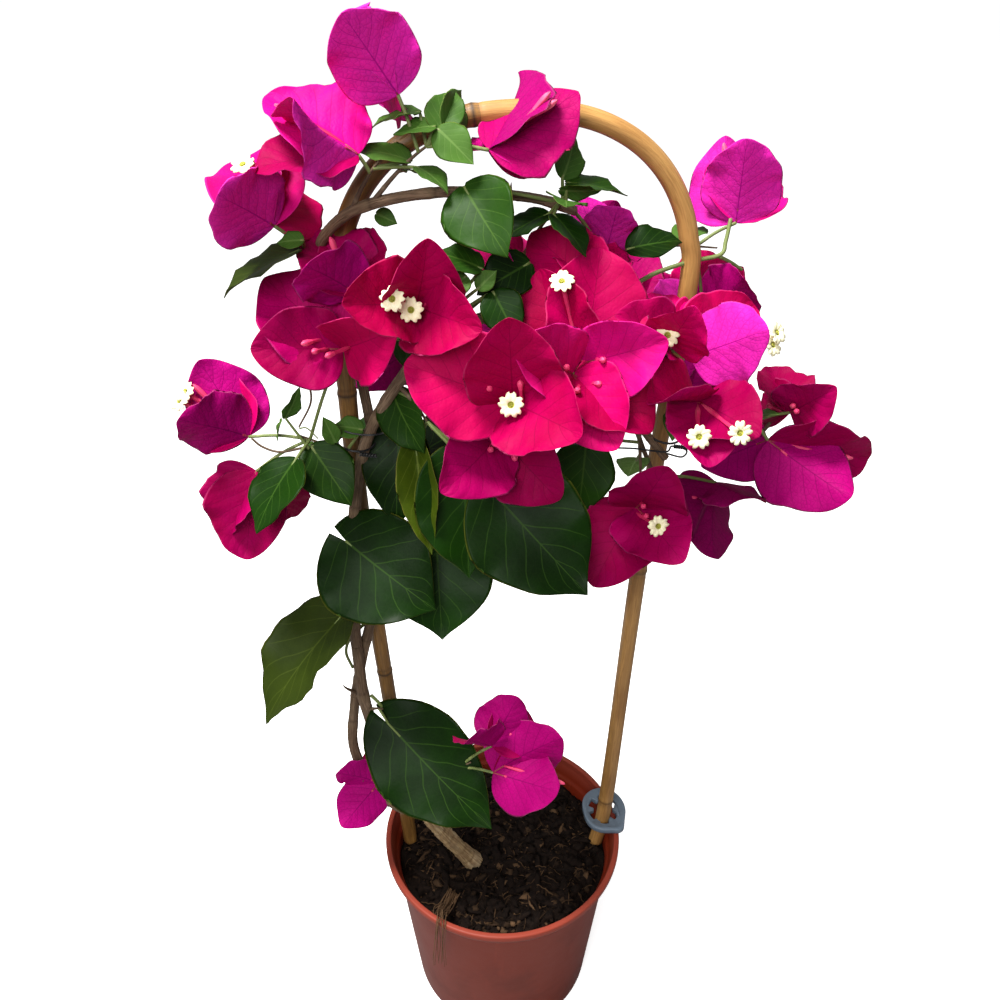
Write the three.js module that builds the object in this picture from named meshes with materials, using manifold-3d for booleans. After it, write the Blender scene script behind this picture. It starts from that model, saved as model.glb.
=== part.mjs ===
// A bougainvillea trained up a bamboo hoop in a round nursery pot.
// Units are millimetres, +Z is up, +Y is the back, and the origin is the middle of the pot's underside.

import * as THREE from "three";
import { mergeVertices } from "three/addons/utils/BufferGeometryUtils.js";
import Module from "manifold-3d";

const wasm = await Module();
wasm.setup();

// ---------------------------------------------------------------- driving sizes

const CLEARANCE = 0.3; // air between two pieces that touch on the real plant
const POT = {
  height: 144,
  footRadius: 66.5,
  wallTopRadius: 78,
  rimRadius: 85,
  collarHeight: 15,
  collarStep: 2.2,
  rimRoll: 2,
  wall: 1.8,
  floor: 2.5,
  sides: 32,
  drainHoles: 6,
  drainRadius: 4.5,
  drainCircle: 50,
};
const SOIL_TOP = 124;
const CANE_RADIUS = 5;
const HOOP = {
  leftFoot: [-69, 7],
  rightFoot: [69.5, 6],
  middle: [7.2, 16.5],
  springHeight: 542, // where the legs turn into the arch
  halfWidth: 89.2,
  rise: 88.5,
  squareness: 2.3, // exponent of the superellipse: 2 is round
  yaw: 7, // degrees that the hoop's plane is turned about Z
};
const CLIP = {
  x: 75,
  y: 12,
  outer: 16.5,
  inner: 12.5,
  bottom: 144.4,
  thick: 4.5,
  fingers: 6,
  finger: [5.5, 2.2], // how long and wide a finger is
  hook: [2, 9, 14], // how thick, wide and tall the hook is
};
const TIE_RADIUS = 0.7;
const LIMB_SIDES = 8;
const CANE_SIDES = 10;
const SLIVER = 0.03; // edges shorter than this are closed up after joining

// A leaf and a bract are thin lenses. Their width is a share of the length, bend is how far the midrib
// turns down in radians, and fold is how far each half is raised about the midrib in degrees.
// rows are the shares of the length where it is cut across; fullness, round and point shape its outline.
const BRACT = {
  width: 0.95,
  bend: 0.35,
  fold: 16,
  thick: 1.1,
  rows: [0.16, 0.66],
  fullness: 0.7,
  round: 0.5,
  point: 0.35,
};
const LEAF = {
  width: 0.8,
  bend: 0.38,
  fold: 10,
  thick: 1.1,
  rows: [0.16, 0.6],
  fullness: 0.72,
  round: 0.75,
  point: 0.6,
};
const TWIG = { sides: 3, start: 1.8, end: 1.3, stalk: 1.2, petiole: 0.8, sunk: 3 };
const SPACING = 6; // a seeded leaf nearer than this to another blade is skipped
const GOLDEN_ANGLE = 137.5;

// ---------------------------------------------------------------- small helpers

const vec = (x, y, z) => new THREE.Vector3(x, y, z);
const radians = THREE.MathUtils.degToRad;
const UP = vec(0, 0, 1);
const FRONT = heading(-90, 32); // the plant's showing side, where its sun comes from

// The unit vector at a bearing (0 is +X, 90 is the back) and a rise above the level, in degrees.
function heading(bearing, rise) {
  const level = Math.cos(radians(rise));
  return vec(level * Math.cos(radians(bearing)), level * Math.sin(radians(bearing)), Math.sin(radians(rise)));
}

// A repeatable stream of numbers from 0 to 1.
function seeded(seed) {
  let state = seed >>> 0;
  return () => {
    state = (state + 0x6d2b79f5) >>> 0;
    let mixed = Math.imul(state ^ (state >>> 15), state | 1);
    mixed ^= mixed + Math.imul(mixed ^ (mixed >>> 7), mixed | 61);
    return ((mixed ^ (mixed >>> 14)) >>> 0) / 4294967296;
  };
}

// ---------------------------------------------------------------- lines that the limbs follow

// A smooth line through points, with its length measured along it.
function smoothLine(points, stepsPerSpan = 8) {
  const curve = new THREE.CatmullRomCurve3(points, false, "catmullrom", 0.5);
  return measured(curve.getPoints((points.length - 1) * stepsPerSpan));
}

function measured(points) {
  const reach = [0];
  for (let i = 1; i < points.length; i++) {
    reach.push(reach[i - 1] + points[i].distanceTo(points[i - 1]));
  }
  return { points, reach, length: reach[reach.length - 1] };
}

// The point at a share (0 to 1) of a line's length.
function along(line, share) {
  const wanted = THREE.MathUtils.clamp(share, 0, 1) * line.length;
  let i = 1;
  while (i < line.reach.length - 1 && line.reach[i] < wanted) i++;
  const span = line.reach[i] - line.reach[i - 1];
  return line.points[i - 1].clone().lerp(line.points[i], (wanted - line.reach[i - 1]) / span);
}

// The stretch of a line between two shares, as evenly spaced points.
function stretch(line, from, to, steps) {
  return Array.from({ length: steps + 1 }, (_, i) => along(line, from + ((to - from) * i) / steps));
}

// A line from a to b that bows upwards in the middle by a share of its length.
function bowed(a, b, bow, steps = 3) {
  const lift = bow * a.distanceTo(b);
  const points = [];
  for (let i = 0; i <= steps; i++) {
    const share = i / steps;
    points.push(a.clone().lerp(b, share).addScaledVector(UP, 4 * lift * share * (1 - share)));
  }
  return measured(points);
}

// ---------------------------------------------------------------- solids

function solidFrom(geometry) {
  geometry.deleteAttribute("normal");
  geometry.deleteAttribute("uv");
  const merged = mergeVertices(geometry, 1e-3);
  return new wasm.Manifold(
    new wasm.Mesh({
      numProp: 3,
      vertProperties: merged.attributes.position.array,
      triVerts: new Uint32Array(merged.index.array),
    }),
  );
}

function geometryFrom(positions, triangles) {
  const geometry = new THREE.BufferGeometry();
  geometry.setAttribute("position", new THREE.BufferAttribute(new Float32Array(positions), 3));
  geometry.setIndex(triangles);
  return geometry;
}

// A tube round a line of points. radiusAt gives its radius at a share of the way; loop joins its ends.
// before and after are points past its two ends, by which the end faces are turned.
function tube(points, radiusAt, sides, { loop = false, before = points[0], after = points.at(-1) } = {}) {
  const count = points.length;
  const positions = [];
  const triangles = [];
  let side = null;
  for (let i = 0; i < count; i++) {
    const next = points[i + 1] ?? (loop ? points[0] : after);
    const last = points[i - 1] ?? (loop ? points.at(-1) : before);
    const forward = next.clone().sub(last).normalize();
    if (!side) side = Math.hypot(forward.x, forward.y) > 1e-3 ? vec(forward.y, -forward.x, 0) : vec(1, 0, 0);
    side.addScaledVector(forward, -side.dot(forward)).normalize();
    const other = forward.clone().cross(side);
    const radius = radiusAt(count > 1 ? i / (count - 1) : 0);
    for (let j = 0; j < sides; j++) {
      const angle = (2 * Math.PI * j) / sides;
      const at = points[i].clone();
      at.addScaledVector(side, radius * Math.cos(angle)).addScaledVector(other, radius * Math.sin(angle));
      positions.push(at.x, at.y, at.z);
    }
  }
  for (let i = 0; i < (loop ? count : count - 1); i++) {
    for (let j = 0; j < sides; j++) {
      const a = i * sides + j;
      const b = i * sides + ((j + 1) % sides);
      const c = ((i + 1) % count) * sides + j;
      const d = ((i + 1) % count) * sides + ((j + 1) % sides);
      triangles.push(a, b, d, a, d, c);
    }
  }
  if (!loop) {
    const end = (count - 1) * sides;
    for (let j = 1; j < sides - 1; j++) {
      triangles.push(0, j + 1, j, end, end + j, end + j + 1);
    }
  }
  return solidFrom(geometryFrom(positions, triangles));
}

// How wide a blade is at a share of its length, as a share of its greatest half width.
function outline(kind, share) {
  return Math.sin(Math.PI * share ** kind.fullness) ** kind.round * (1 - kind.point * share ** 6);
}

// A point of a blade: share of the way along its midrib, and across from -1 (left edge) to 1.
function bladePoint(blade, share, across) {
  const { kind, base, tip, face, length } = blade;
  const turn = kind.bend * share;
  const chord = (length * Math.sin(turn)) / kind.bend;
  const drop = (length * (1 - Math.cos(turn))) / kind.bend;
  const half = 0.5 * kind.width * length * outline(kind, share) * across;
  const fold = radians(blade.fold ?? kind.fold);
  const side = tip.clone().cross(face);
  const normal = face.clone().multiplyScalar(Math.cos(turn)).addScaledVector(tip, Math.sin(turn));
  return base
    .clone()
    .addScaledVector(tip, chord)
    .addScaledVector(face, -drop)
    .addScaledVector(side, half * Math.cos(fold))
    .addScaledVector(normal, Math.abs(half) * Math.sin(fold));
}

// A ring of points round a blade at a share of its length: a flat diamond, or with spare a thick strip.
function bladeRing(blade, share, spare) {
  const { kind, tip, face } = blade;
  const turn = kind.bend * share;
  const normal = face.clone().multiplyScalar(Math.cos(turn)).addScaledVector(tip, Math.sin(turn));
  const [left, middle, right] = [-1, 0, 1].map((across) => bladePoint(blade, share, across));
  const half = 0.5 * kind.thick + spare;
  const above = (p) => p.clone().addScaledVector(normal, half);
  const below = (p) => p.clone().addScaledVector(normal, -half);
  if (!spare) return [left, below(middle), right, above(middle)];
  return [below(left), below(middle), below(right), above(right), above(middle), above(left)];
}

// The corners of a leaf's neck across and up, and of the room round it.
const NECK = [[-1, 0], [0, -1], [1, 0], [0, 1]];
const NECK_GROWN = [[-1, -1], [0, -1.2], [1, -1], [1, 1], [0, 1.2], [-1, 1]];

// A blade as a closed lens that tapers back to its root inside the stem, grown by spare on every side.
function bladeSolid(blade, spare = 0) {
  const { kind, tip, face } = blade;
  const length = blade.length + 3 * spare;
  const grown = { ...blade, length, base: blade.base.clone().addScaledVector(tip, -spare) };
  const rings = kind.rows.map((share) => bladeRing(grown, share, spare));
  if (blade.stalked) {
    const way = grown.base.clone().sub(blade.root).normalize().add(tip).normalize();
    const side = way.clone().cross(face).normalize();
    const up = side.clone().cross(way);
    const neck = TWIG.petiole + spare;
    const spots = spare ? NECK_GROWN : NECK;
    const corner = ([x, y]) => (
      grown.base.clone().addScaledVector(side, x * neck).addScaledVector(up, y * neck)
    );
    rings.unshift(spots.map(corner));
  }
  const corners = rings[0].length;
  const points = [blade.root, ...rings.flat(), bladePoint(grown, 1, 0)];
  const last = points.length - 1;
  const triangles = [];
  for (let j = 0; j < corners; j++) {
    const next = (j + 1) % corners;
    triangles.push(0, 1 + j, 1 + next);
    triangles.push(last, last - corners + next, last - corners + j);
    for (let i = 0; i < rings.length - 1; i++) {
      const a = 1 + corners * i;
      const b = a + corners;
      triangles.push(a + j, b + next, a + next, a + j, b + j, b + next);
    }
  }
  return solidFrom(geometryFrom(points.flatMap((p) => p.toArray()), triangles));
}

function lathe(profile, sides) {
  const geometry = new THREE.LatheGeometry(profile.map(([r, z]) => new THREE.Vector2(r, z)), sides);
  geometry.rotateX(Math.PI / 2);
  return solidFrom(geometry);
}

function drum(radius, height, x, y, bottom, sides) {
  const geometry = new THREE.CylinderGeometry(radius, radius, height, sides);
  geometry.rotateX(Math.PI / 2).translate(x, y, bottom + height / 2);
  return solidFrom(geometry);
}

// The biggest body of a solid, without the slivers that joining leaves: what a cut leaves loose is dropped.
function biggest(solid) {
  const bodies = solid.simplify(SLIVER).decompose();
  return bodies.reduce((best, body) => (body.volume() > best.volume() ? body : best));
}

// ---------------------------------------------------------------- limbs

// The hoop: two nearly upright legs under a slightly squared arch, in a plane turned about Z.
function hoopLine() {
  const yAt = (x) => HOOP.middle[1] + (x - HOOP.middle[0]) * Math.tan(radians(HOOP.yaw));
  const leftX = HOOP.middle[0] - HOOP.halfWidth;
  const rightX = HOOP.middle[0] + HOOP.halfWidth;
  const points = [
    vec(...HOOP.leftFoot, SOIL_TOP - 1),
    vec(HOOP.leftFoot[0] - 5.5, 7, 250),
    vec(leftX + 2, yAt(leftX), 360),
    vec(leftX - 1, yAt(leftX), 465),
  ];
  for (let angle = 180; angle >= 0; angle -= 15) {
    const c = Math.cos(radians(angle));
    const s = Math.sin(radians(angle));
    const x = HOOP.middle[0] + HOOP.halfWidth * Math.sign(c) * Math.abs(c) ** (2 / HOOP.squareness);
    points.push(vec(x, yAt(x), HOOP.springHeight + HOOP.rise * s ** (2 / HOOP.squareness)));
  }
  points.push(vec(rightX - 8, 25, 435));
  points.push(vec(rightX - 12, 22, 360));
  points.push(vec(rightX - 19, 12, 203));
  points.push(vec(rightX - 22.5, 8, 148));
  points.push(vec(...HOOP.rightFoot, SOIL_TOP - 1));
  return smoothLine(points);
}

const HOOP_LINE = hoopLine();
const HOOP_PIECES = [
  ["hoop_left_leg", 0, 0.335, 10],
  ["hoop_arch_left", 0.335, 0.46, 8],
  ["hoop_arch_top", 0.46, 0.555, 7],
  ["hoop_arch_right", 0.555, 0.68, 8],
  ["hoop_right_leg", 0.68, 1, 10],
];

// Woody limbs: points that each one passes through, its radius at the start and the end, and its steps.
const LIMBS = {
  trunk: {
    radius: [5.7, 5.2],
    steps: 6,
    through: [
      [-21, -13, SOIL_TOP + CLEARANCE], [-33, -17, 148], [-44, -21, 172], [-53, -25, 195],
    ],
  },
  stem_a_lower: {
    radius: [4, 3.6],
    steps: 10,
    through: [
      [-54, -25, 197], [-67, -20, 224], [-81, -13, 250], [-89, -8, 282], [-90, -9, 330],
    ],
  },
  stem_a_upper: {
    radius: [3.5, 2.9],
    steps: 12,
    through: [
      [-90, -9, 330], [-89, -8, 380], [-84, -7, 420], [-75, -6, 465], [-58, -13, 500], [-36, -20, 531],
    ],
  },
  stem_b_lower: {
    radius: [3.5, 3.1],
    steps: 11,
    through: [
      [-53, -25, 194], [-72, -27, 204], [-89, -20, 221], [-99, -11, 245], [-97, 2, 276],
    ],
  },
  stem_b_middle: {
    radius: [3.1, 2.7],
    steps: 16,
    through: [
      [-97, 2, 276], [-84, -5, 332], [-69, -6, 388], [-64, -2, 420], [-71, 9, 460], [-78, 18, 505],
      [-84, 17, 545],
    ],
  },
  stem_b_arch: {
    radius: [2.7, 2.2],
    steps: 14,
    through: [
      [-84, 17, 545], [-89, 8, 563], [-85, -2, 578], [-66, -9, 593], [-29, -5, 599], [12, 2, 595],
      [34, 5, 588],
    ],
  },
  bough_heart: {
    radius: [2.8, 1.8],
    steps: 10,
    through: [
      [-36, -20, 531], [-8, -20, 545], [30, -16, 547], [65, -14, 528], [92, -12, 498], [108, -8, 482],
    ],
  },
  bough_cut_stub: {
    radius: [2.4, 2.1],
    steps: 5,
    through: [
      [50, -15, 539], [60, -9, 510], [71, -10, 483], [86, -14, 464],
    ],
  },
  bough_back_right: {
    radius: [2.2, 1.5],
    steps: 6,
    through: [
      [30, -16, 547], [36, 14, 556], [46, 38, 552], [62, 54, 530],
    ],
  },
  bough_back_left: {
    radius: [2.2, 1.5],
    steps: 6,
    through: [
      [-78, 18, 505], [-62, 34, 520], [-38, 46, 524], [-12, 52, 515],
    ],
  },
};
const ROOT_FLARE = { extra: 2, reach: 0.3 }; // the trunk's foot is wider by extra, over a share of its length

for (const limb of Object.values(LIMBS)) {
  limb.line = smoothLine(limb.through.map((p) => vec(...p)));
}

function limbRadius(name, share) {
  const [start, end] = LIMBS[name].radius;
  const flare = name === "trunk" ? ROOT_FLARE.extra * Math.max(0, 1 - share / ROOT_FLARE.reach) ** 2 : 0;
  return start + (end - start) * share + flare;
}

function limbSolid(name, spare = 0) {
  const limb = LIMBS[name];
  const points = stretch(limb.line, 0, 1, limb.steps);
  return tube(points, (share) => limbRadius(name, share) + spare, LIMB_SIDES);
}

// ---------------------------------------------------------------- sprays: one flowering or leafy shoot each

// limb and at say where its stem leaves the limb, and tip is where the stem ends.
// blooms: x, y, z of the three bracts' base, then each bract's bearing, rise, length, turn from facing
// the front, and fold where it is folded more or less than others.
// heads: three bracts by rule, from x, y, z, bearing, rise, bract length, opening and roll.
// leaves: x, y, z of the leaf's foot, bearing and rise of its tip, length, turn of its face about the midrib,
// and for some how broad it is against others, and its fold.
// more: number of seeded leaves along the stem, and their length.
const SPRAYS = {
  spray_top: {
    limb: "stem_b_arch", at: 0.42, tip: [-28, -10, 624], seed: 11, more: [2, 17],
    blooms: [
      [[-46, -5, 640], [-145, 55, 43, 162, 12], [115, 20, 58, 95, 12], [120, 20, 51, 265]],
      [[-7, -8, 618], [25, 20, 48, 160, 12], [60, 25, 55, 80, 44], [50, 10, 43, 150, 20]],
    ],
    heads: [],
    leaves: [
      [-28, -10, 626, 65, 50, 23, 0], [-29, -10, 627, -35, -30, 22, 0], [-30, -10, 628, -175, 0, 19, 42],
      [-26, -8, 627, 60, 35, 24, 50], [-37, -4, 633, -180, -5, 23, 55],
    ],
  },
  spray_high_left: {
    limb: "stem_b_arch", at: 0.36, tip: [-55, -14, 615], seed: 12, more: [0, 20],
    blooms: [
      [[-64, -14, 617], [165, 35, 49, 28], [-165, 5, 46, 40, 8], [-130, 30, 46, 215, 40]],
    ],
    heads: [],
    leaves: [[-42, -8, 613, 175, 20, 25, 45], [-39, -10, 611, -35, -15, 20, -50]],
  },
  spray_left: {
    limb: "stem_b_arch", at: 0.02, tip: [-98, -6, 575], seed: 13, more: [0, 20],
    blooms: [
      [[-106, -10, 585], [-120, 35, 43, 155, 8], [120, 35, 52, 10, 24], [85, 25, 46, 70, 30]],
      [[-69, -20, 556], [135, 40, 43, 20, 20], [-130, 40, 40, 150], [105, 40, 40, 0, 24]],
    ],
    heads: [],
    leaves: [[-96, -12, 574, -165, -15, 42, 55], [-93, -12, 579, 180, 0, 13, 20]],
  },
  spray_left_middle: {
    limb: "stem_a_upper", at: 0.58, tip: [-107, -14, 478], seed: 14, more: [2, 13],
    blooms: [
      [[-77, -26, 531], [160, 40, 51, 10], [-155, 10, 43, -10], [-50, 25, 43, 40, 30]],
      [[-133, -14, 477], [145, 50, 46, 190], [-145, 35, 42, 160, 20], [140, 20, 46, 0, 20]],
      [[-131, -17, 458], [-105, -55, 48, 0, 20], [30, -70, 43, 0, 20], [-155, -50, 43, 25, 30]],
    ],
    heads: [],
    leaves: [
      [-101, -14, 471, -45, -35, 38, -10], [-107, -26, 470, -125, -30, 43, 35],
      [-74, -10, 479, 175, 10, 17, 20],
    ],
  },
  spray_left_leaves: {
    limb: "stem_a_upper", at: 0.34, tip: [-82, -18, 412], seed: 15, more: [0, 20],
    blooms: [],
    heads: [],
    leaves: [[-88, -16, 412, -35, -20, 64, 0, 1.32, 12], [-38, -8, 411, -85, -50, 60, 0, 1.35]],
  },
  spray_inner_leaves: {
    limb: "stem_a_upper", at: 0.86, tip: [-36, -24, 486], seed: 16, more: [0, 20],
    blooms: [],
    heads: [],
    leaves: [
      [-46, -16, 475, -80, -50, 60, 10, 0.62, 45], [-57, -10, 502, -60, -45, 37, 30],
      [-21, -24, 473, -85, -60, 67, 0], [-7, -34, 457, -40, -30, 74, 0, 1.1],
      [-56, 5, 475, -95, -55, 58, 0, 0.8],
    ],
  },
  spray_low_left_leaf: {
    limb: "stem_a_upper", at: 0.13, tip: [-92, -16, 357], seed: 17, more: [0, 20],
    blooms: [],
    heads: [],
    leaves: [[-93, -14, 360, -140, -30, 81, 42, 0.88, 20]],
  },
  spray_low_leaf: {
    limb: "stem_a_lower", at: 0.6, tip: [-76, -18, 284], seed: 18, more: [0, 20],
    blooms: [],
    heads: [],
    leaves: [[-73, -20, 273, -40, -25, 92, 0, 0.9]],
  },
  spray_low_flower: {
    limb: "stem_b_lower", at: 0.62, tip: [-92, -26, 226], seed: 19, more: [0, 20],
    blooms: [
      [[-82, -24, 222], [-140, -30, 36, 180], [-170, 40, 34, 160], [90, -5, 34, 0]],
    ],
    heads: [],
    leaves: [],
  },
  spray_foot: {
    limb: "stem_a_lower", at: 0.08, tip: [-20, -42, 262], seed: 20, more: [0, 20],
    blooms: [
      [[-6, -50, 262], [15, 30, 51, 190, 12], [-25, 5, 46, 160], [35, -20, 46, 0]],
      [[-7, -44, 279], [45, 50, 36, 180], [-140, 50, 36, 150, 20], [40, 10, 36, 0]],
    ],
    heads: [],
    leaves: [],
  },
  spray_centre_left: {
    limb: "bough_heart", at: 0.14, tip: [-26, -30, 560], seed: 21, more: [1, 18],
    blooms: [
      [[-40, -36, 556], [-125, 20, 43, 0, 20], [-70, 50, 43, 40, 26], [-55, 5, 43, 20, 20]],
    ],
    heads: [],
    leaves: [
      [12, -14, 569, -145, -15, 30, 0], [-5, -28, 560, -55, -40, 25, 0, 1.05],
      [-10, -26, 570, 175, 25, 24, 35],
      [-17, -30, 568, -140, -20, 12, 0, 1.3], [-12, -30, 562, 5, 45, 12, 0], [-54, -4, 527, -15, -10, 33, 0],
    ],
  },
  spray_centre: {
    limb: "bough_heart", at: 0.3, tip: [4, -48, 512], seed: 22, more: [2, 24],
    blooms: [
      [[4, -60, 519], [-95, 65, 48, 0, 12], [-175, 25, 52, 0, 10], [-60, 10, 48, 0]],
      [[-2, -48, 496], [-40, -35, 43, 20, 20], [-120, -10, 44, -20], [75, -50, 44, 20]],
    ],
    heads: [],
    leaves: [],
  },
  spray_centre_right: {
    limb: "bough_heart", at: 0.42, tip: [34, -36, 532], seed: 23, more: [2, 24],
    blooms: [
      [[37, -40, 530], [155, 55, 48, -30, 22], [65, 65, 55, 10], [-35, 25, 43, 20, 24]],
      [[42, -14, 557], [150, 35, 41, 0], [90, 25, 43, 10], [60, 0, 42, 0]],
      [[32, -44, 526], [-65, -25, 43, 10], [-35, -15, 46, -20, 20], [-130, 35, 43, 0, 20]],
    ],
    heads: [],
    leaves: [],
  },
  spray_arch_end: {
    limb: "stem_b_arch", at: 0.94, tip: [30, 2, 593], seed: 24, more: [2, 24],
    blooms: [
      [[51, 20, 561], [-70, 70, 33, 180], [110, 35, 36, 160, 20], [65, 10, 35, 0, 20]],
      [[8, 14, 561], [150, 10, 34, 0], [-110, 15, 34, 180], [70, 5, 34, 0]],
    ],
    heads: [],
    leaves: [
      [-18, -12, 603, -60, -30, 40, 12, 1.1], [29, 0, 602, -5, 0, 29, -55], [27, 2, 604, 55, 50, 22, 30],
      [23, -6, 589, -45, -25, 26, -45], [21, -4, 589, -165, -15, 25, 45],
    ],
  },
  spray_right_high: {
    limb: "bough_back_right", at: 0.55, tip: [112, 40, 560], seed: 25, more: [1, 20],
    blooms: [
      [[120, 40, 573], [-110, 85, 44, 165, 14], [95, 40, 48, 175, 20], [75, 25, 51, 0, 20]],
      [[109, 38, 522], [-155, 20, 43, 180], [-50, 50, 43, 170], [85, 45, 45, 0]],
    ],
    heads: [],
    leaves: [[60, 4, 570, 5, 15, 28, -30]],
  },
  spray_right: {
    limb: "bough_heart", at: 0.66, tip: [78, -24, 530], seed: 26, more: [1, 22],
    blooms: [
      [[90, -26, 527], [-30, 30, 43, 180, 12], [30, 25, 47, 0], [60, 20, 44, 0]],
      [[78, -28, 534], [-145, 40, 36, 30, 30], [85, 30, 37, 0], [-85, 40, 36, 0]],
    ],
    heads: [],
    leaves: [],
  },
  spray_right_middle: {
    limb: "bough_heart", at: 0.84, tip: [94, -28, 506], seed: 27, more: [1, 22],
    blooms: [
      [[94, -34, 507], [-90, -10, 42, 0], [-65, 10, 42, -10, 14], [-135, 25, 42, 60, 50]],
    ],
    heads: [],
    leaves: [],
  },
  spray_far_right: {
    limb: "bough_heart", at: 0.98, tip: [136, -9, 482], seed: 28, more: [1, 22],
    blooms: [
      [[150, -6, 487], [95, 25, 36, 10, 24], [-75, 40, 36, 0, 24], [110, -20, 36, 0, 20]],
      [[139, -12, 474], [-35, -25, 52, 180, 22], [-5, -15, 60, 40, 26], [125, -40, 48, 180, 20]],
    ],
    heads: [],
    leaves: [],
  },
  spray_right_low: {
    limb: "bough_cut_stub", at: 0.7, tip: [74, -16, 446], seed: 29, more: [2, 30],
    blooms: [
      [[72, -20, 437], [-130, -35, 49, 20], [-70, 0, 46, 0, 12], [-75, 50, 46, 10]],
      [[120, 6, 437], [-105, -50, 45, 150, 14], [-75, 10, 42, 150, 14], [-125, -15, 42, 150, 30]],
    ],
    heads: [],
    leaves: [[44, -8, 472, -100, -60, 44, 0]],
  },
  spray_back_high: {
    limb: "bough_back_right", at: 0.75, tip: [58, 62, 530], seed: 31, more: [4, 34],
    blooms: [],
    heads: [[48, 66, 534, 100, 10, 44, 50, 20], [74, 58, 520, 60, 0, 42, 40, 90]],
    leaves: [],
  },
  spray_back_right: {
    limb: "bough_back_right", at: 0.98, tip: [74, 62, 495], seed: 32, more: [4, 38],
    blooms: [],
    heads: [[70, 68, 500, 70, 0, 46, 50, 60], [84, 58, 480, 30, -10, 44, 40, 0]],
    leaves: [],
  },
  spray_back_middle: {
    limb: "bough_back_left", at: 0.98, tip: [14, 60, 500], seed: 33, more: [5, 38],
    blooms: [],
    heads: [[18, 66, 503, 85, 15, 48, 52, 0], [22, 56, 478, 100, -20, 44, 42, 200]],
    leaves: [],
  },
  spray_back_left: {
    limb: "bough_back_left", at: 0.5, tip: [-44, 56, 508], seed: 34, more: [4, 36],
    blooms: [],
    heads: [[-50, 60, 496, 115, -15, 46, 50, 120]],
    leaves: [],
  },
  spray_back_low: {
    limb: "stem_b_middle", at: 0.6, tip: [-52, 34, 440], seed: 35, more: [5, 48],
    blooms: [],
    heads: [],
    leaves: [],
  },
};

function readHead([x, y, z, bearing, rise, size, open, roll]) {
  return { base: vec(x, y, z), axis: heading(bearing, rise), size, open, roll };
}

function readLeaf([x, y, z, bearing, rise, size, turn, broad, fold]) {
  return { base: vec(x, y, z), tip: heading(bearing, rise), size, turn, broad, fold };
}

// A direction square to an axis, as near to the wanted one as can be.
function squareTo(axis, wanted) {
  const square = wanted.clone().addScaledVector(axis, -wanted.dot(axis));
  return square.lengthSq() > 1e-4 ? square.normalize() : squareTo(axis, vec(0, -1, 0.3));
}

// The three bracts of a bloom, each placed by itself.
function placedBracts([base, ...rows], root) {
  return rows.map(([bearing, rise, length, turn, fold]) => {
    const tip = heading(bearing, rise);
    const face = squareTo(tip, FRONT).applyAxisAngle(tip, radians(turn));
    return { kind: BRACT, root, base: vec(...base), tip, face, length, fold };
  });
}

// The three bracts of a head by rule: each leans out from the head's axis and turns its inner face to it.
function bractsOf(head, root, random) {
  const up = squareTo(head.axis, UP);
  const side = head.axis.clone().cross(up);
  return [0, 1, 2].map((i) => {
    const round = radians(head.roll + 120 * i + 24 * (random() - 0.5));
    const open = radians(head.open + 14 * (random() - 0.5));
    const out = up.clone().multiplyScalar(Math.cos(round)).addScaledVector(side, Math.sin(round));
    const tip = head.axis.clone().multiplyScalar(Math.cos(open)).addScaledVector(out, Math.sin(open));
    const face = head.axis.clone().multiplyScalar(Math.sin(open)).addScaledVector(out, -Math.cos(open));
    return { kind: BRACT, root, base: head.base, tip, face, length: head.size * (0.93 + 0.14 * random()) };
  });
}

// A leaf's face looks the given way, up for a seeded leaf, then turns about the midrib.
function leafBlade(leaf, towards = UP) {
  const face = squareTo(leaf.tip, towards);
  face.applyAxisAngle(leaf.tip, radians(leaf.turn));
  const kind = { ...LEAF, width: LEAF.width * (leaf.broad ?? 1) };
  const { root, base, tip, fold } = leaf;
  return { kind, stalked: true, root, base, tip, face, length: leaf.size, fold };
}

// The points by which a blade is kept off its neighbours.
function feelers(blade) {
  const spots = [bladePoint(blade, 1, 0)];
  for (const share of [0.25, 0.5, 0.75]) {
    for (const across of [-0.9, -0.45, 0, 0.45, 0.9]) spots.push(bladePoint(blade, share, across));
  }
  return spots;
}

const WOOD = [];
for (const [name, limb] of Object.entries(LIMBS)) {
  for (let i = 0; i <= 24; i++) {
    WOOD.push({ at: along(limb.line, i / 24), radius: limbRadius(name, i / 24) });
  }
}
for (let i = 0; i <= 160; i++) WOOD.push({ at: along(HOOP_LINE, i / 160), radius: CANE_RADIUS });

// What a spray is made of: its stem, then a stalk and three bracts for each head, and its named leaves.
function framework(spray) {
  const random = seeded(spray.seed);
  const limb = LIMBS[spray.limb];
  const root = along(limb.line, spray.at);
  const stem = bowed(root, vec(...spray.tip), 0.06);
  const twigs = [{ line: stem, start: TWIG.start, end: TWIG.end }];
  const blades = [];
  const reach = (base) => {
    let nearest = 0.3;
    for (let share = 0.3; share <= 1; share += 0.05) {
      if (along(stem, share).distanceTo(base) < along(stem, nearest).distanceTo(base)) nearest = share;
    }
    return along(stem, Math.max(0.3, nearest - 0.12));
  };
  const stalkTo = (base) => {
    const stalk = bowed(reach(base), base, 0.05, 2);
    twigs.push({ line: stalk, start: TWIG.stalk, end: TWIG.stalk });
    return along(stalk, 1 - TWIG.sunk / stalk.length);
  };
  for (const bloom of spray.blooms) blades.push(...placedBracts(bloom, stalkTo(vec(...bloom[0]))));
  for (const head of spray.heads.map(readHead)) blades.push(...bractsOf(head, stalkTo(head.base), random));
  for (const leaf of spray.leaves.map(readLeaf)) {
    blades.push(leafBlade({ ...leaf, root: reach(leaf.base) }, FRONT));
  }
  return { twigs, blades, stem };
}

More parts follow.
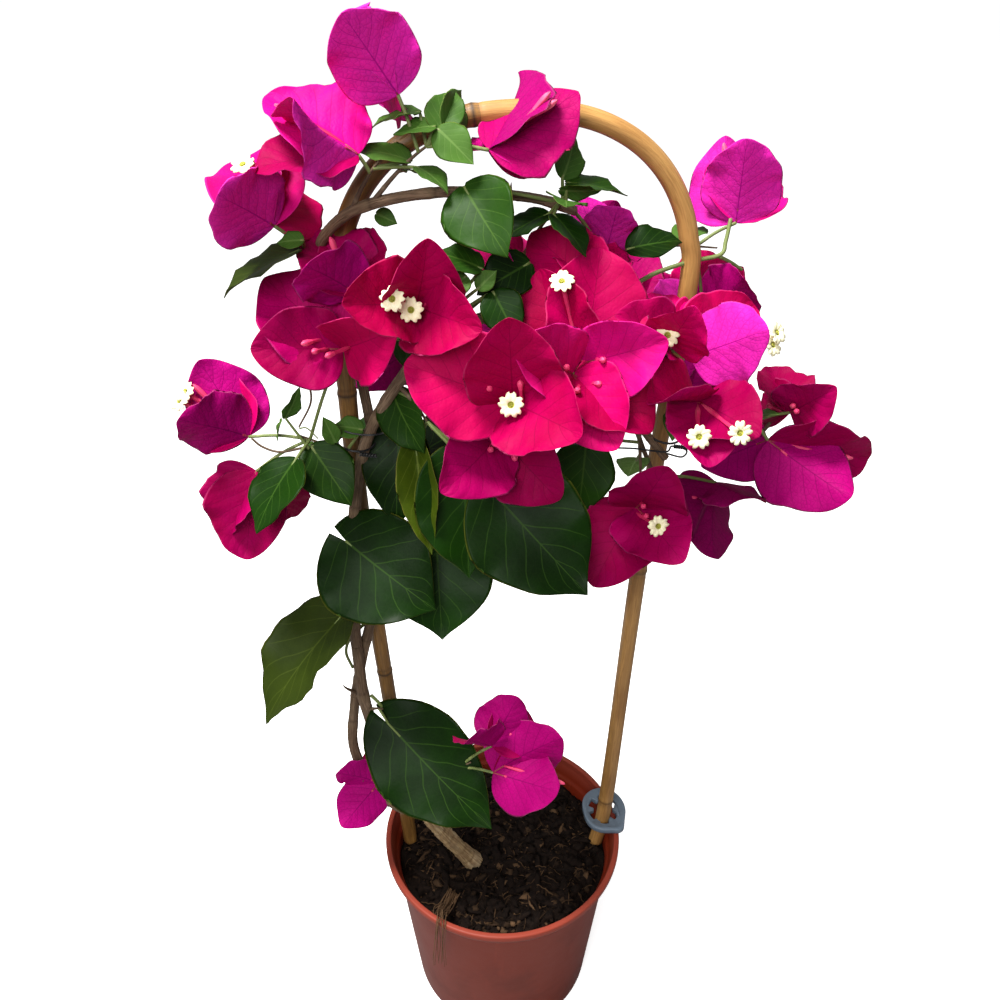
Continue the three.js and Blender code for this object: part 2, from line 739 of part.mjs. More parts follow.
// Seeded leaves turn round the stem by the golden angle; one that would crowd a neighbour is skipped.
function addSeededLeaves(spray, plan, taken) {
  const random = seeded(spray.seed + 500);
  const [count, size] = spray.more;
  for (let i = 0; i < count; i++) {
    const share = 0.3 + (0.65 * (i + 0.3 + 0.4 * random())) / count;
    const origin = along(plan.stem, share);
    const forward = along(plan.stem, share + 0.05).sub(origin).normalize();
    const length = size * (0.75 + 0.5 * random());
    for (let attempt = 0; attempt < 6; attempt++) {
      const round = radians(GOLDEN_ANGLE * i + 55 * attempt + 40 * random());
      const up = squareTo(forward, UP);
      const out = up.clone().multiplyScalar(Math.cos(round));
      out.addScaledVector(forward.clone().cross(up), Math.sin(round));
      const tip = out.multiplyScalar(0.85).addScaledVector(forward, 0.4).addScaledVector(UP, -0.25);
      tip.normalize();
      const base = origin.clone().addScaledVector(tip, 0.25 * length);
      const blade = leafBlade({ root: origin, base, tip, size: length, turn: 40 * (random() - 0.5) });
      const spots = feelers(blade);
      const crowded = spots.some((s) => taken.some((t) => t.distanceTo(s) < SPACING));
      const onWood = spots.some((s) => WOOD.some((w) => w.at.distanceTo(s) < w.radius + 4));
      if (crowded || onWood) continue;
      taken.push(...spots);
      plan.blades.push(blade);
      break;
    }
  }
}

function growAll() {
  const plans = {};
  const taken = [];
  for (const [name, spray] of Object.entries(SPRAYS)) {
    plans[name] = framework(spray);
    for (const blade of plans[name].blades) taken.push(...feelers(blade));
  }
  for (const [name, spray] of Object.entries(SPRAYS)) addSeededLeaves(spray, plans[name], taken);
  return plans;
}

function twigSolid(twig, spare = 0) {
  return tube(twig.line.points, (share) => twig.start + (twig.end - twig.start) * share + spare, TWIG.sides);
}

// A spray as one solid, or, with spare, as the room that its neighbours keep clear of.
function spraySolid(plan, spare = 0) {
  const pieces = plan.twigs.map((twig) => twigSolid(twig, 2 * spare));
  for (const blade of plan.blades) pieces.push(bladeSolid(blade, spare));
  if (spare) {
    const petiole = () => TWIG.petiole + 2 * spare;
    for (const { root, base } of plan.blades) pieces.push(tube([root, base], petiole, 4));
  }
  return wasm.Manifold.union(pieces);
}

// ---------------------------------------------------------------- pot, soil, clip and ties

function potSolid() {
  const { height, footRadius, wallTopRadius, rimRadius, rimRoll, wall, floor } = POT;
  const collar = height - POT.collarHeight;
  const collarRadius = wallTopRadius + POT.collarStep;
  const profile = [
    [0, 0],
    [footRadius - 1.5, 0],
    [footRadius, 1.5],
    [wallTopRadius, collar],
    [collarRadius, collar + 1],
    [rimRadius - 1.2, height - rimRoll - 2],
    [rimRadius, height - rimRoll],
    [rimRadius - 0.6, height - 0.5],
    [rimRadius - 2, height],
    [rimRadius - 3.4, height - 0.5],
    [rimRadius - 4, height - rimRoll],
    [collarRadius - wall, collar + 1],
    [wallTopRadius - wall, collar - 1],
    [footRadius - wall, floor],
    [0, floor],
  ];
  let pot = lathe(profile, POT.sides);
  for (let i = 0; i < POT.drainHoles; i++) {
    const angle = (2 * Math.PI * i) / POT.drainHoles;
    const x = POT.drainCircle * Math.cos(angle);
    const y = POT.drainCircle * Math.sin(angle);
    pot = pot.subtract(drum(POT.drainRadius, floor + 2, x, y, -1, 10));
  }
  return pot;
}

function soilSolid() {
  const inside = POT.wall + CLEARANCE + 0.2; // the flat sides of both pieces keep clear of each other
  const collar = POT.height - POT.collarHeight;
  const bottom = POT.floor + CLEARANCE;
  const slope = (POT.wallTopRadius - POT.footRadius) / (collar - 1.5);
  const topRadius = POT.footRadius + slope * (SOIL_TOP - 1.5) - inside;
  const footRadius = POT.footRadius - inside;
  return lathe([[0, bottom], [footRadius, bottom], [topRadius, SOIL_TOP], [0, SOIL_TOP]], POT.sides);
}

// The clip: a flat ring round the cane's foot, with fingers that reach in to it and a hook over the rim.
function clipSolid() {
  const { x, y, outer, inner, bottom, thick, fingers } = CLIP;
  let clip = drum(outer, thick, x, y, bottom, 24).subtract(drum(inner, thick + 2, x, y, bottom - 1, 24));
  for (let i = 0; i < fingers; i++) {
    const finger = new THREE.BoxGeometry(...CLIP.finger, thick - 2);
    finger.translate(inner - 1.5, 0, 0).rotateZ((2 * Math.PI * (i + 0.5)) / fingers);
    finger.translate(x, y, bottom + thick / 2);
    clip = clip.add(solidFrom(finger));
  }
  const [hookThick, , hookTall] = CLIP.hook;
  const hook = new THREE.BoxGeometry(...CLIP.hook);
  const hookAt = POT.rimRadius + CLEARANCE + 0.55 * hookThick;
  hook.translate(hookAt, 0, bottom + thick - 0.5 * hookTall).rotateZ(Math.atan2(y, x));
  return clip.add(solidFrom(hook));
}

// A wire loop drawn tight round two upright pieces of given centres and radii.
function tieSolid(posts, height) {
  const points = [];
  const steps = 28;
  for (let i = 0; i < steps; i++) {
    const angle = (2 * Math.PI * i) / steps;
    const out = vec(Math.cos(angle), Math.sin(angle), 0);
    const spare = 2.2 * CLEARANCE + TIE_RADIUS;
    const spots = posts.map(([x, y, radius]) => vec(x, y, height).addScaledVector(out, radius + spare));
    points.push(spots.reduce((best, p) => (p.dot(out) > best.dot(out) ? p : best)));
  }
  return tube(points, () => TIE_RADIUS, 5, { loop: true });
}

// Where a line crosses a height.
function crossing(line, height) {
  let best = 0;
  for (let i = 1; i <= 400; i++) {
    const off = Math.abs(along(line, i / 400).z - height);
    if (off < Math.abs(along(line, best).z - height)) best = i / 400;
  }
  return along(line, best);
}

// ---------------------------------------------------------------- the finished model

const COLOURS = {
  pot: [0x8f4a3a, 0.5],
  soil: [0x2a1c14, 1],
  clip: [0x6b7d90, 0.55],
  cane: [0xc79a58, 0.5],
  wood: [0x6b5646, 0.85],
  wire: [0x14161a, 0.5],
  bloom: [0xc4127a, 0.7],
  leaf: [0x2f5a22, 0.6],
};
const model = new THREE.Group();

function addMesh(name, solid, colour) {
  const { vertProperties, triVerts, numProp } = solid.getMesh();
  const positions = [];
  for (let i = 0; i < vertProperties.length; i += numProp) {
    positions.push(vertProperties[i], vertProperties[i + 1], vertProperties[i + 2]);
  }
  const [hex, roughness] = COLOURS[colour];
  const material = new THREE.MeshStandardMaterial({ color: hex, roughness, metalness: 0 });
  const mesh = new THREE.Mesh(geometryFrom(positions, [...triVerts]), material);
  mesh.name = name;
  model.add(mesh);
}

addMesh("pot", potSolid(), "pot");
addMesh("soil", soilSolid(), "soil");

// Limbs and cane stand on the soil on flat cuts.
const FLOOR_CUT = drum(POT.rimRadius, 20, 0, 0, SOIL_TOP + CLEARANCE - 20, 24);

// The hoop's pieces meet end to end, each end drawn back a little.
const HOOP_ROOM = [];
for (const [name, from, to, steps] of HOOP_PIECES) {
  const back = (0.8 * CLEARANCE) / HOOP_LINE.length;
  const points = stretch(HOOP_LINE, from === 0 ? 0 : from + back, to === 1 ? 1 : to - back, steps);
  const before = along(HOOP_LINE, from - 0.01);
  const after = along(HOOP_LINE, to + 0.01);
  const piece = tube(points, () => CANE_RADIUS, CANE_SIDES, { before, after });
  addMesh(name, piece.subtract(FLOOR_CUT), "cane");
  HOOP_ROOM.push(tube(points, () => CANE_RADIUS + 1.5 * CLEARANCE, CANE_SIDES, { before, after }));
}

// Each limb is cut clear of the limbs before it, so that it seats on them, and flat above the soil.
const WOOD_ROOM = [];
for (const name of Object.keys(LIMBS)) {
  let solid = limbSolid(name).subtract(FLOOR_CUT);
  for (const room of WOOD_ROOM) solid = solid.subtract(room);
  addMesh(name, biggest(solid), "wood");
  WOOD_ROOM.push(limbSolid(name, 1.1 * CLEARANCE));
}

// Each tie: its height, the limb that it holds, and the stretch of the hoop that it holds it to.
const TIES = {
  tie_left: { height: 467, limb: "stem_a_upper", from: 0.1, to: 0.35 },
  tie_right: { height: 474, limb: "bough_cut_stub", from: 0.65, to: 0.95 },
};
for (const [name, { height, limb, from, to }] of Object.entries(TIES)) {
  const cane = crossing(measured(stretch(HOOP_LINE, from, to, 100)), height);
  const held = crossing(LIMBS[limb].line, height);
  const posts = [[cane.x, cane.y, CANE_RADIUS], [held.x, held.y, 1.25 * limbRadius(limb, 0.6)]];
  const tie = tieSolid(posts, height);
  WOOD_ROOM.push(tie);
  addMesh(name, tie, "wire");
}

// Each spray is cut clear of the wood, the hoop and the sprays before it.
addMesh("clip", clipSolid().subtract(HOOP_ROOM.at(-1)), "clip");
const ROOM = [...WOOD_ROOM, ...HOOP_ROOM];
for (const [name, plan] of Object.entries(growAll())) {
  let solid = spraySolid(plan);
  for (const room of ROOM) solid = solid.subtract(room);
  const flowering = SPRAYS[name].blooms.length + SPRAYS[name].heads.length > 0;
  addMesh(name, biggest(solid), flowering ? "bloom" : "leaf");
  ROOM.push(spraySolid(plan, 1.4 * CLEARANCE));
}

export default model;
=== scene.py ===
# A bougainvillea trained up a bamboo hoop in a round nursery pot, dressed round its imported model.
# Plant sizes are in millimetres, as its growth rule uses them; the meshes are made in metres.
import math

import bpy
import numpy as np
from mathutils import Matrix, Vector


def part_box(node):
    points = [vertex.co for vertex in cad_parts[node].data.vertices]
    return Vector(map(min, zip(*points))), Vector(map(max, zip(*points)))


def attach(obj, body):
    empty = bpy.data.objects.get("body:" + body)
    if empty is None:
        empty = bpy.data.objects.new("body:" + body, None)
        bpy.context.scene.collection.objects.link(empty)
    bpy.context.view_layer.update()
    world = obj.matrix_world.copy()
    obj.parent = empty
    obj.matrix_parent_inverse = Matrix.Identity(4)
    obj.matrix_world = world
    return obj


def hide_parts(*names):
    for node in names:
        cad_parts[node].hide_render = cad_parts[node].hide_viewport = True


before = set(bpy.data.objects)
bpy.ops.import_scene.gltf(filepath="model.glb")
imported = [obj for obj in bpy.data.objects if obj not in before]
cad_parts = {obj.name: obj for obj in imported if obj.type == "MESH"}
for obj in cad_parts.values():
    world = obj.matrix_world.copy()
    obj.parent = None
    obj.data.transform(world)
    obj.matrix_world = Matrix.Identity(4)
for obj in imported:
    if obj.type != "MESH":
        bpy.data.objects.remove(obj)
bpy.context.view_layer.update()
MM = 0.001

# ---------------------------------------------------------------- camera, light and floor

CAMERA = {"place": (-0.0018, -0.4291, 0.700), "tilt": 57.73, "lens": 32.4, "film": 36}
LAMP_TARGET = (0, 0, 0.5)
LAMPS = {
    "top_light": {"place": (-0.45, -0.2, 1.8), "size": 0.45, "power": 46, "colour": (1, 0.98, 0.95)},
    "front_fill": {"place": (-0.4, -1.2, 1.3), "size": 0.9, "power": 16, "colour": (1, 1, 1)},
}
PAPER = (1, 1, 1, 1)
FLOOR_WIDTH = 60
# Sky and floor are white where they are looked at. These are their strengths where they light the plant.
SKY_LIGHT, FLOOR_LIGHT = 0.47, 0.3
FLOOR_GLOW = 0.55


def add_camera():
    data = bpy.data.cameras.new("camera")
    data.lens = CAMERA["lens"]
    data.sensor_width = CAMERA["film"]
    data.clip_start = 0.01
    camera = bpy.data.objects.new("camera", data)
    camera.location = CAMERA["place"]
    camera.rotation_euler = (math.radians(CAMERA["tilt"]), 0, 0)
    bpy.context.scene.collection.objects.link(camera)
    bpy.context.scene.camera = camera


def add_light(name, place, size, power, colour):
    """A round lamp that looks at the plant's crown."""
    data = bpy.data.lights.new(name, "AREA")
    data.shape = "DISK"
    data.size = size
    data.energy = power
    data.color = colour
    light = bpy.data.objects.new(name, data)
    light.location = place
    away = np.array(place, float) - np.array(LAMP_TARGET, float)
    flat = math.hypot(away[0], away[1])
    light.rotation_euler = (math.atan2(flat, away[2]), 0, math.atan2(away[1], away[0]) + math.pi / 2)
    bpy.context.scene.collection.objects.link(light)


def seen_and_lit(tree, seen, lit):
    """One value where the floor or sky is looked at, and another where it lights the plant."""
    path = tree.nodes.new("ShaderNodeLightPath")
    share = tree.nodes.new("ShaderNodeMapRange")
    share.inputs["To Min"].default_value = lit
    share.inputs["To Max"].default_value = seen
    tree.links.new(path.outputs["Is Camera Ray"], share.inputs["Value"])
    return share.outputs[0]


def add_studio():
    world = bpy.data.worlds.new("studio")
    bpy.context.scene.world = world
    world.use_nodes = True
    tree = world.node_tree
    background = tree.nodes["Background"]
    background.inputs["Color"].default_value = PAPER
    tree.links.new(seen_and_lit(tree, 1.0, SKY_LIGHT), background.inputs["Strength"])
    for name, lamp in LAMPS.items():
        add_light(name, **lamp)
    bpy.context.scene.view_settings.view_transform = "Standard"
    bpy.ops.mesh.primitive_plane_add(size=FLOOR_WIDTH)
    floor = bpy.context.object
    floor.name = "studio_floor"
    paper = bpy.data.materials.new("studio_paper")
    paper.use_nodes = True
    tree = paper.node_tree
    surface = tree.nodes["Principled BSDF"]
    surface.inputs["Roughness"].default_value = 1.0
    surface.inputs["Specular IOR Level"].default_value = 0.0
    grey = tree.nodes.new("ShaderNodeMix")
    grey.data_type = "RGBA"
    grey.inputs[6].default_value = (0, 0, 0, 1)
    grey.inputs[7].default_value = PAPER
    tree.links.new(seen_and_lit(tree, 1.0, FLOOR_LIGHT), grey.inputs[0])
    tree.links.new(grey.outputs[2], surface.inputs["Base Color"])
    surface.inputs["Emission Color"].default_value = PAPER
    tree.links.new(seen_and_lit(tree, FLOOR_GLOW, 0.0), surface.inputs["Emission Strength"])
    floor.data.materials.append(paper)


add_camera()
add_studio()

# ---------------------------------------------------------------- small helpers

UP = np.array([0.0, 0.0, 1.0])


def vec(*xyz):
    return np.array(xyz, float)


def unit(v):
    return v / np.linalg.norm(v)


def heading(bearing, rise):
    """The unit vector at a bearing (0 is +X, 90 is the back) and a rise above the level, in degrees."""
    b, r = math.radians(bearing), math.radians(rise)
    return vec(math.cos(r) * math.cos(b), math.cos(r) * math.sin(b), math.sin(r))


FRONT = heading(-90, 32)


def seeded(seed):
    """A repeatable stream of numbers from 0 to 1, the same as the solids' own."""
    whole = 0xFFFFFFFF
    state = seed & whole

    def draw():
        nonlocal state
        state = (state + 0x6D2B79F5) & whole
        mixed = ((state ^ (state >> 15)) * (state | 1)) & whole
        mixed ^= (mixed + (((mixed ^ (mixed >> 7)) * (mixed | 61)) & whole)) & whole
        return ((mixed ^ (mixed >> 14)) & whole) / 4294967296

    return draw


def turned(v, axis, degrees):
    """v turned about a unit axis by the right hand."""
    a = math.radians(degrees)
    across, along = np.cross(axis, v), axis * np.dot(axis, v)
    return v * math.cos(a) + across * math.sin(a) + along * (1 - math.cos(a))


def square_to(axis, wanted):
    """A direction square to an axis, as near to the wanted one as can be."""
    square = wanted - axis * np.dot(wanted, axis)
    return unit(square) if np.dot(square, square) > 1e-4 else square_to(axis, vec(0, -1, 0.3))


# ---------------------------------------------------------------- lines that the limbs follow


class Line:
    """A run of points with the length measured along it."""

    def __init__(self, points):
        self.points = np.array(points, float)
        steps = np.linalg.norm(np.diff(self.points, axis=0), axis=1)
        self.reach = np.concatenate([[0], np.cumsum(steps)])
        self.length = self.reach[-1]

    def at(self, share):
        """The point at a share of the line's length."""
        wanted = min(max(share, 0), 1) * self.length
        i = 1
        while i < len(self.reach) - 1 and self.reach[i] < wanted:
            i += 1
        span = self.reach[i] - self.reach[i - 1]
        part = (wanted - self.reach[i - 1]) / span
        return self.points[i - 1] * (1 - part) + self.points[i] * part

    def evenly(self, steps):
        return np.array([self.at(i / steps) for i in range(steps + 1)])


def smooth_line(points, steps_per_span=8):
    """A uniform Catmull-Rom curve through points."""
    p = [vec(*q) for q in points]
    p = [2 * p[0] - p[1], *p, 2 * p[-1] - p[-2]]
    out = []
    for i in range(1, len(p) - 2):
        last_span = i == len(p) - 3
        for step in range(steps_per_span + (1 if last_span else 0)):
            t = step / steps_per_span
            t0, t1 = 0.5 * (p[i + 1] - p[i - 1]), 0.5 * (p[i + 2] - p[i])
            c2 = -3 * p[i] + 3 * p[i + 1] - 2 * t0 - t1
            c3 = 2 * p[i] - 2 * p[i + 1] + t0 + t1
            out.append(p[i] + t0 * t + c2 * t * t + c3 * t * t * t)
    return Line(out)


def bowed(a, b, bow, steps=3):
    """A line from a to b that bows upwards in the middle by a share of its length."""
    lift = bow * np.linalg.norm(b - a)
    shares = [i / steps for i in range(steps + 1)]
    return Line([a * (1 - s) + b * s + UP * (4 * lift * s * (1 - s)) for s in shares])


# ---------------------------------------------------------------- the plant's own numbers, as in its solids

SOIL_TOP = 124
# foot, wall_top and rim are outer radii. step is how far the collar stands out from the wall.
POT = {
    "height": 144, "foot": 66.5, "wall_top": 78, "rim": 85, "collar": 15, "step": 2.2, "wall": 1.8,
    "floor": 2.5,
}
CANE_RADIUS = 5
# left and right are the feet. The arch springs at a height and has a half span and a rise over its middle.
HOOP = {
    "left": (-69, 7), "right": (69.5, 6), "middle": (7.2, 16.5), "spring": 542, "half": 89.2, "rise": 88.5,
    "squareness": 2.3, "yaw": 7,
}
CLIP = {"x": 75, "y": 12, "outer": 16.5, "bottom": 144.4, "thick": 4.5, "fingers": 6}
# Blades: width as a share of length, bend in radians over the length, and fold in degrees along the midrib.
# A fullness under 1 brings the widest place nearer the foot, a small round makes the ends blunt, and point
# draws in the tip.
BRACT = {"width": 0.95, "bend": 0.35, "fold": 16, "fullness": 0.7, "round": 0.5, "point": 0.35}
LEAF = {"width": 0.8, "bend": 0.38, "fold": 10, "fullness": 0.72, "round": 0.75, "point": 0.6}
# A spray's stem and the stalks of its blooms: how far each bows as a share of its length, and its radii.
STEM = {"bow": 0.06, "foot": 1.8, "tip": 1.3}
STALK = {"bow": 0.05, "radius": 1.2, "sunk": 3}
# The share of a stem, from its foot, that bears no leaf or bloom.
BARE = 0.3
# How far apart seeded leaves keep from other blades, and how far off the wood.
SPACING = 6
WOOD_GAP = 4
GOLDEN_ANGLE = 137.5
# Woody limbs: points that each one passes through, and its radius at the start and the end.
LIMBS = {
    "trunk": {"radius": (5.7, 5.2), "through": [
        (-21, -13, 124.3), (-33, -17, 148), (-44, -21, 172), (-53, -25, 195)]},
    "stem_a_lower": {"radius": (4, 3.6), "through": [
        (-54, -25, 197), (-67, -20, 224), (-81, -13, 250), (-89, -8, 282), (-90, -9, 330)]},
    "stem_a_upper": {"radius": (3.5, 2.9), "through": [
        (-90, -9, 330), (-89, -8, 380), (-84, -7, 420), (-75, -6, 465), (-58, -13, 500), (-36, -20, 531)]},
    "stem_b_lower": {"radius": (3.5, 3.1), "through": [
        (-53, -25, 194), (-72, -27, 204), (-89, -20, 221), (-99, -11, 245), (-97, 2, 276)]},
    "stem_b_middle": {"radius": (3.1, 2.7), "through": [
        (-97, 2, 276), (-84, -5, 332), (-69, -6, 388), (-64, -2, 420), (-71, 9, 460), (-78, 18, 505),
        (-84, 17, 545)]},
    "stem_b_arch": {"radius": (2.7, 2.2), "through": [
        (-84, 17, 545), (-89, 8, 563), (-85, -2, 578), (-66, -9, 593), (-29, -5, 599), (12, 2, 595),
        (34, 5, 588)]},
    "bough_heart": {"radius": (2.8, 1.8), "through": [
        (-36, -20, 531), (-8, -20, 545), (30, -16, 547), (65, -14, 528), (92, -12, 498), (108, -8, 482)]},
    "bough_cut_stub": {"radius": (2.4, 2.1), "through": [
        (50, -15, 539), (60, -9, 510), (71, -10, 483), (86, -14, 464)]},
    "bough_back_right": {"radius": (2.2, 1.5), "through": [
        (30, -16, 547), (36, 14, 556), (46, 38, 552), (62, 54, 530)]},
    "bough_back_left": {"radius": (2.2, 1.5), "through": [
        (-78, 18, 505), (-62, 34, 520), (-38, 46, 524), (-12, 52, 515)]},
}

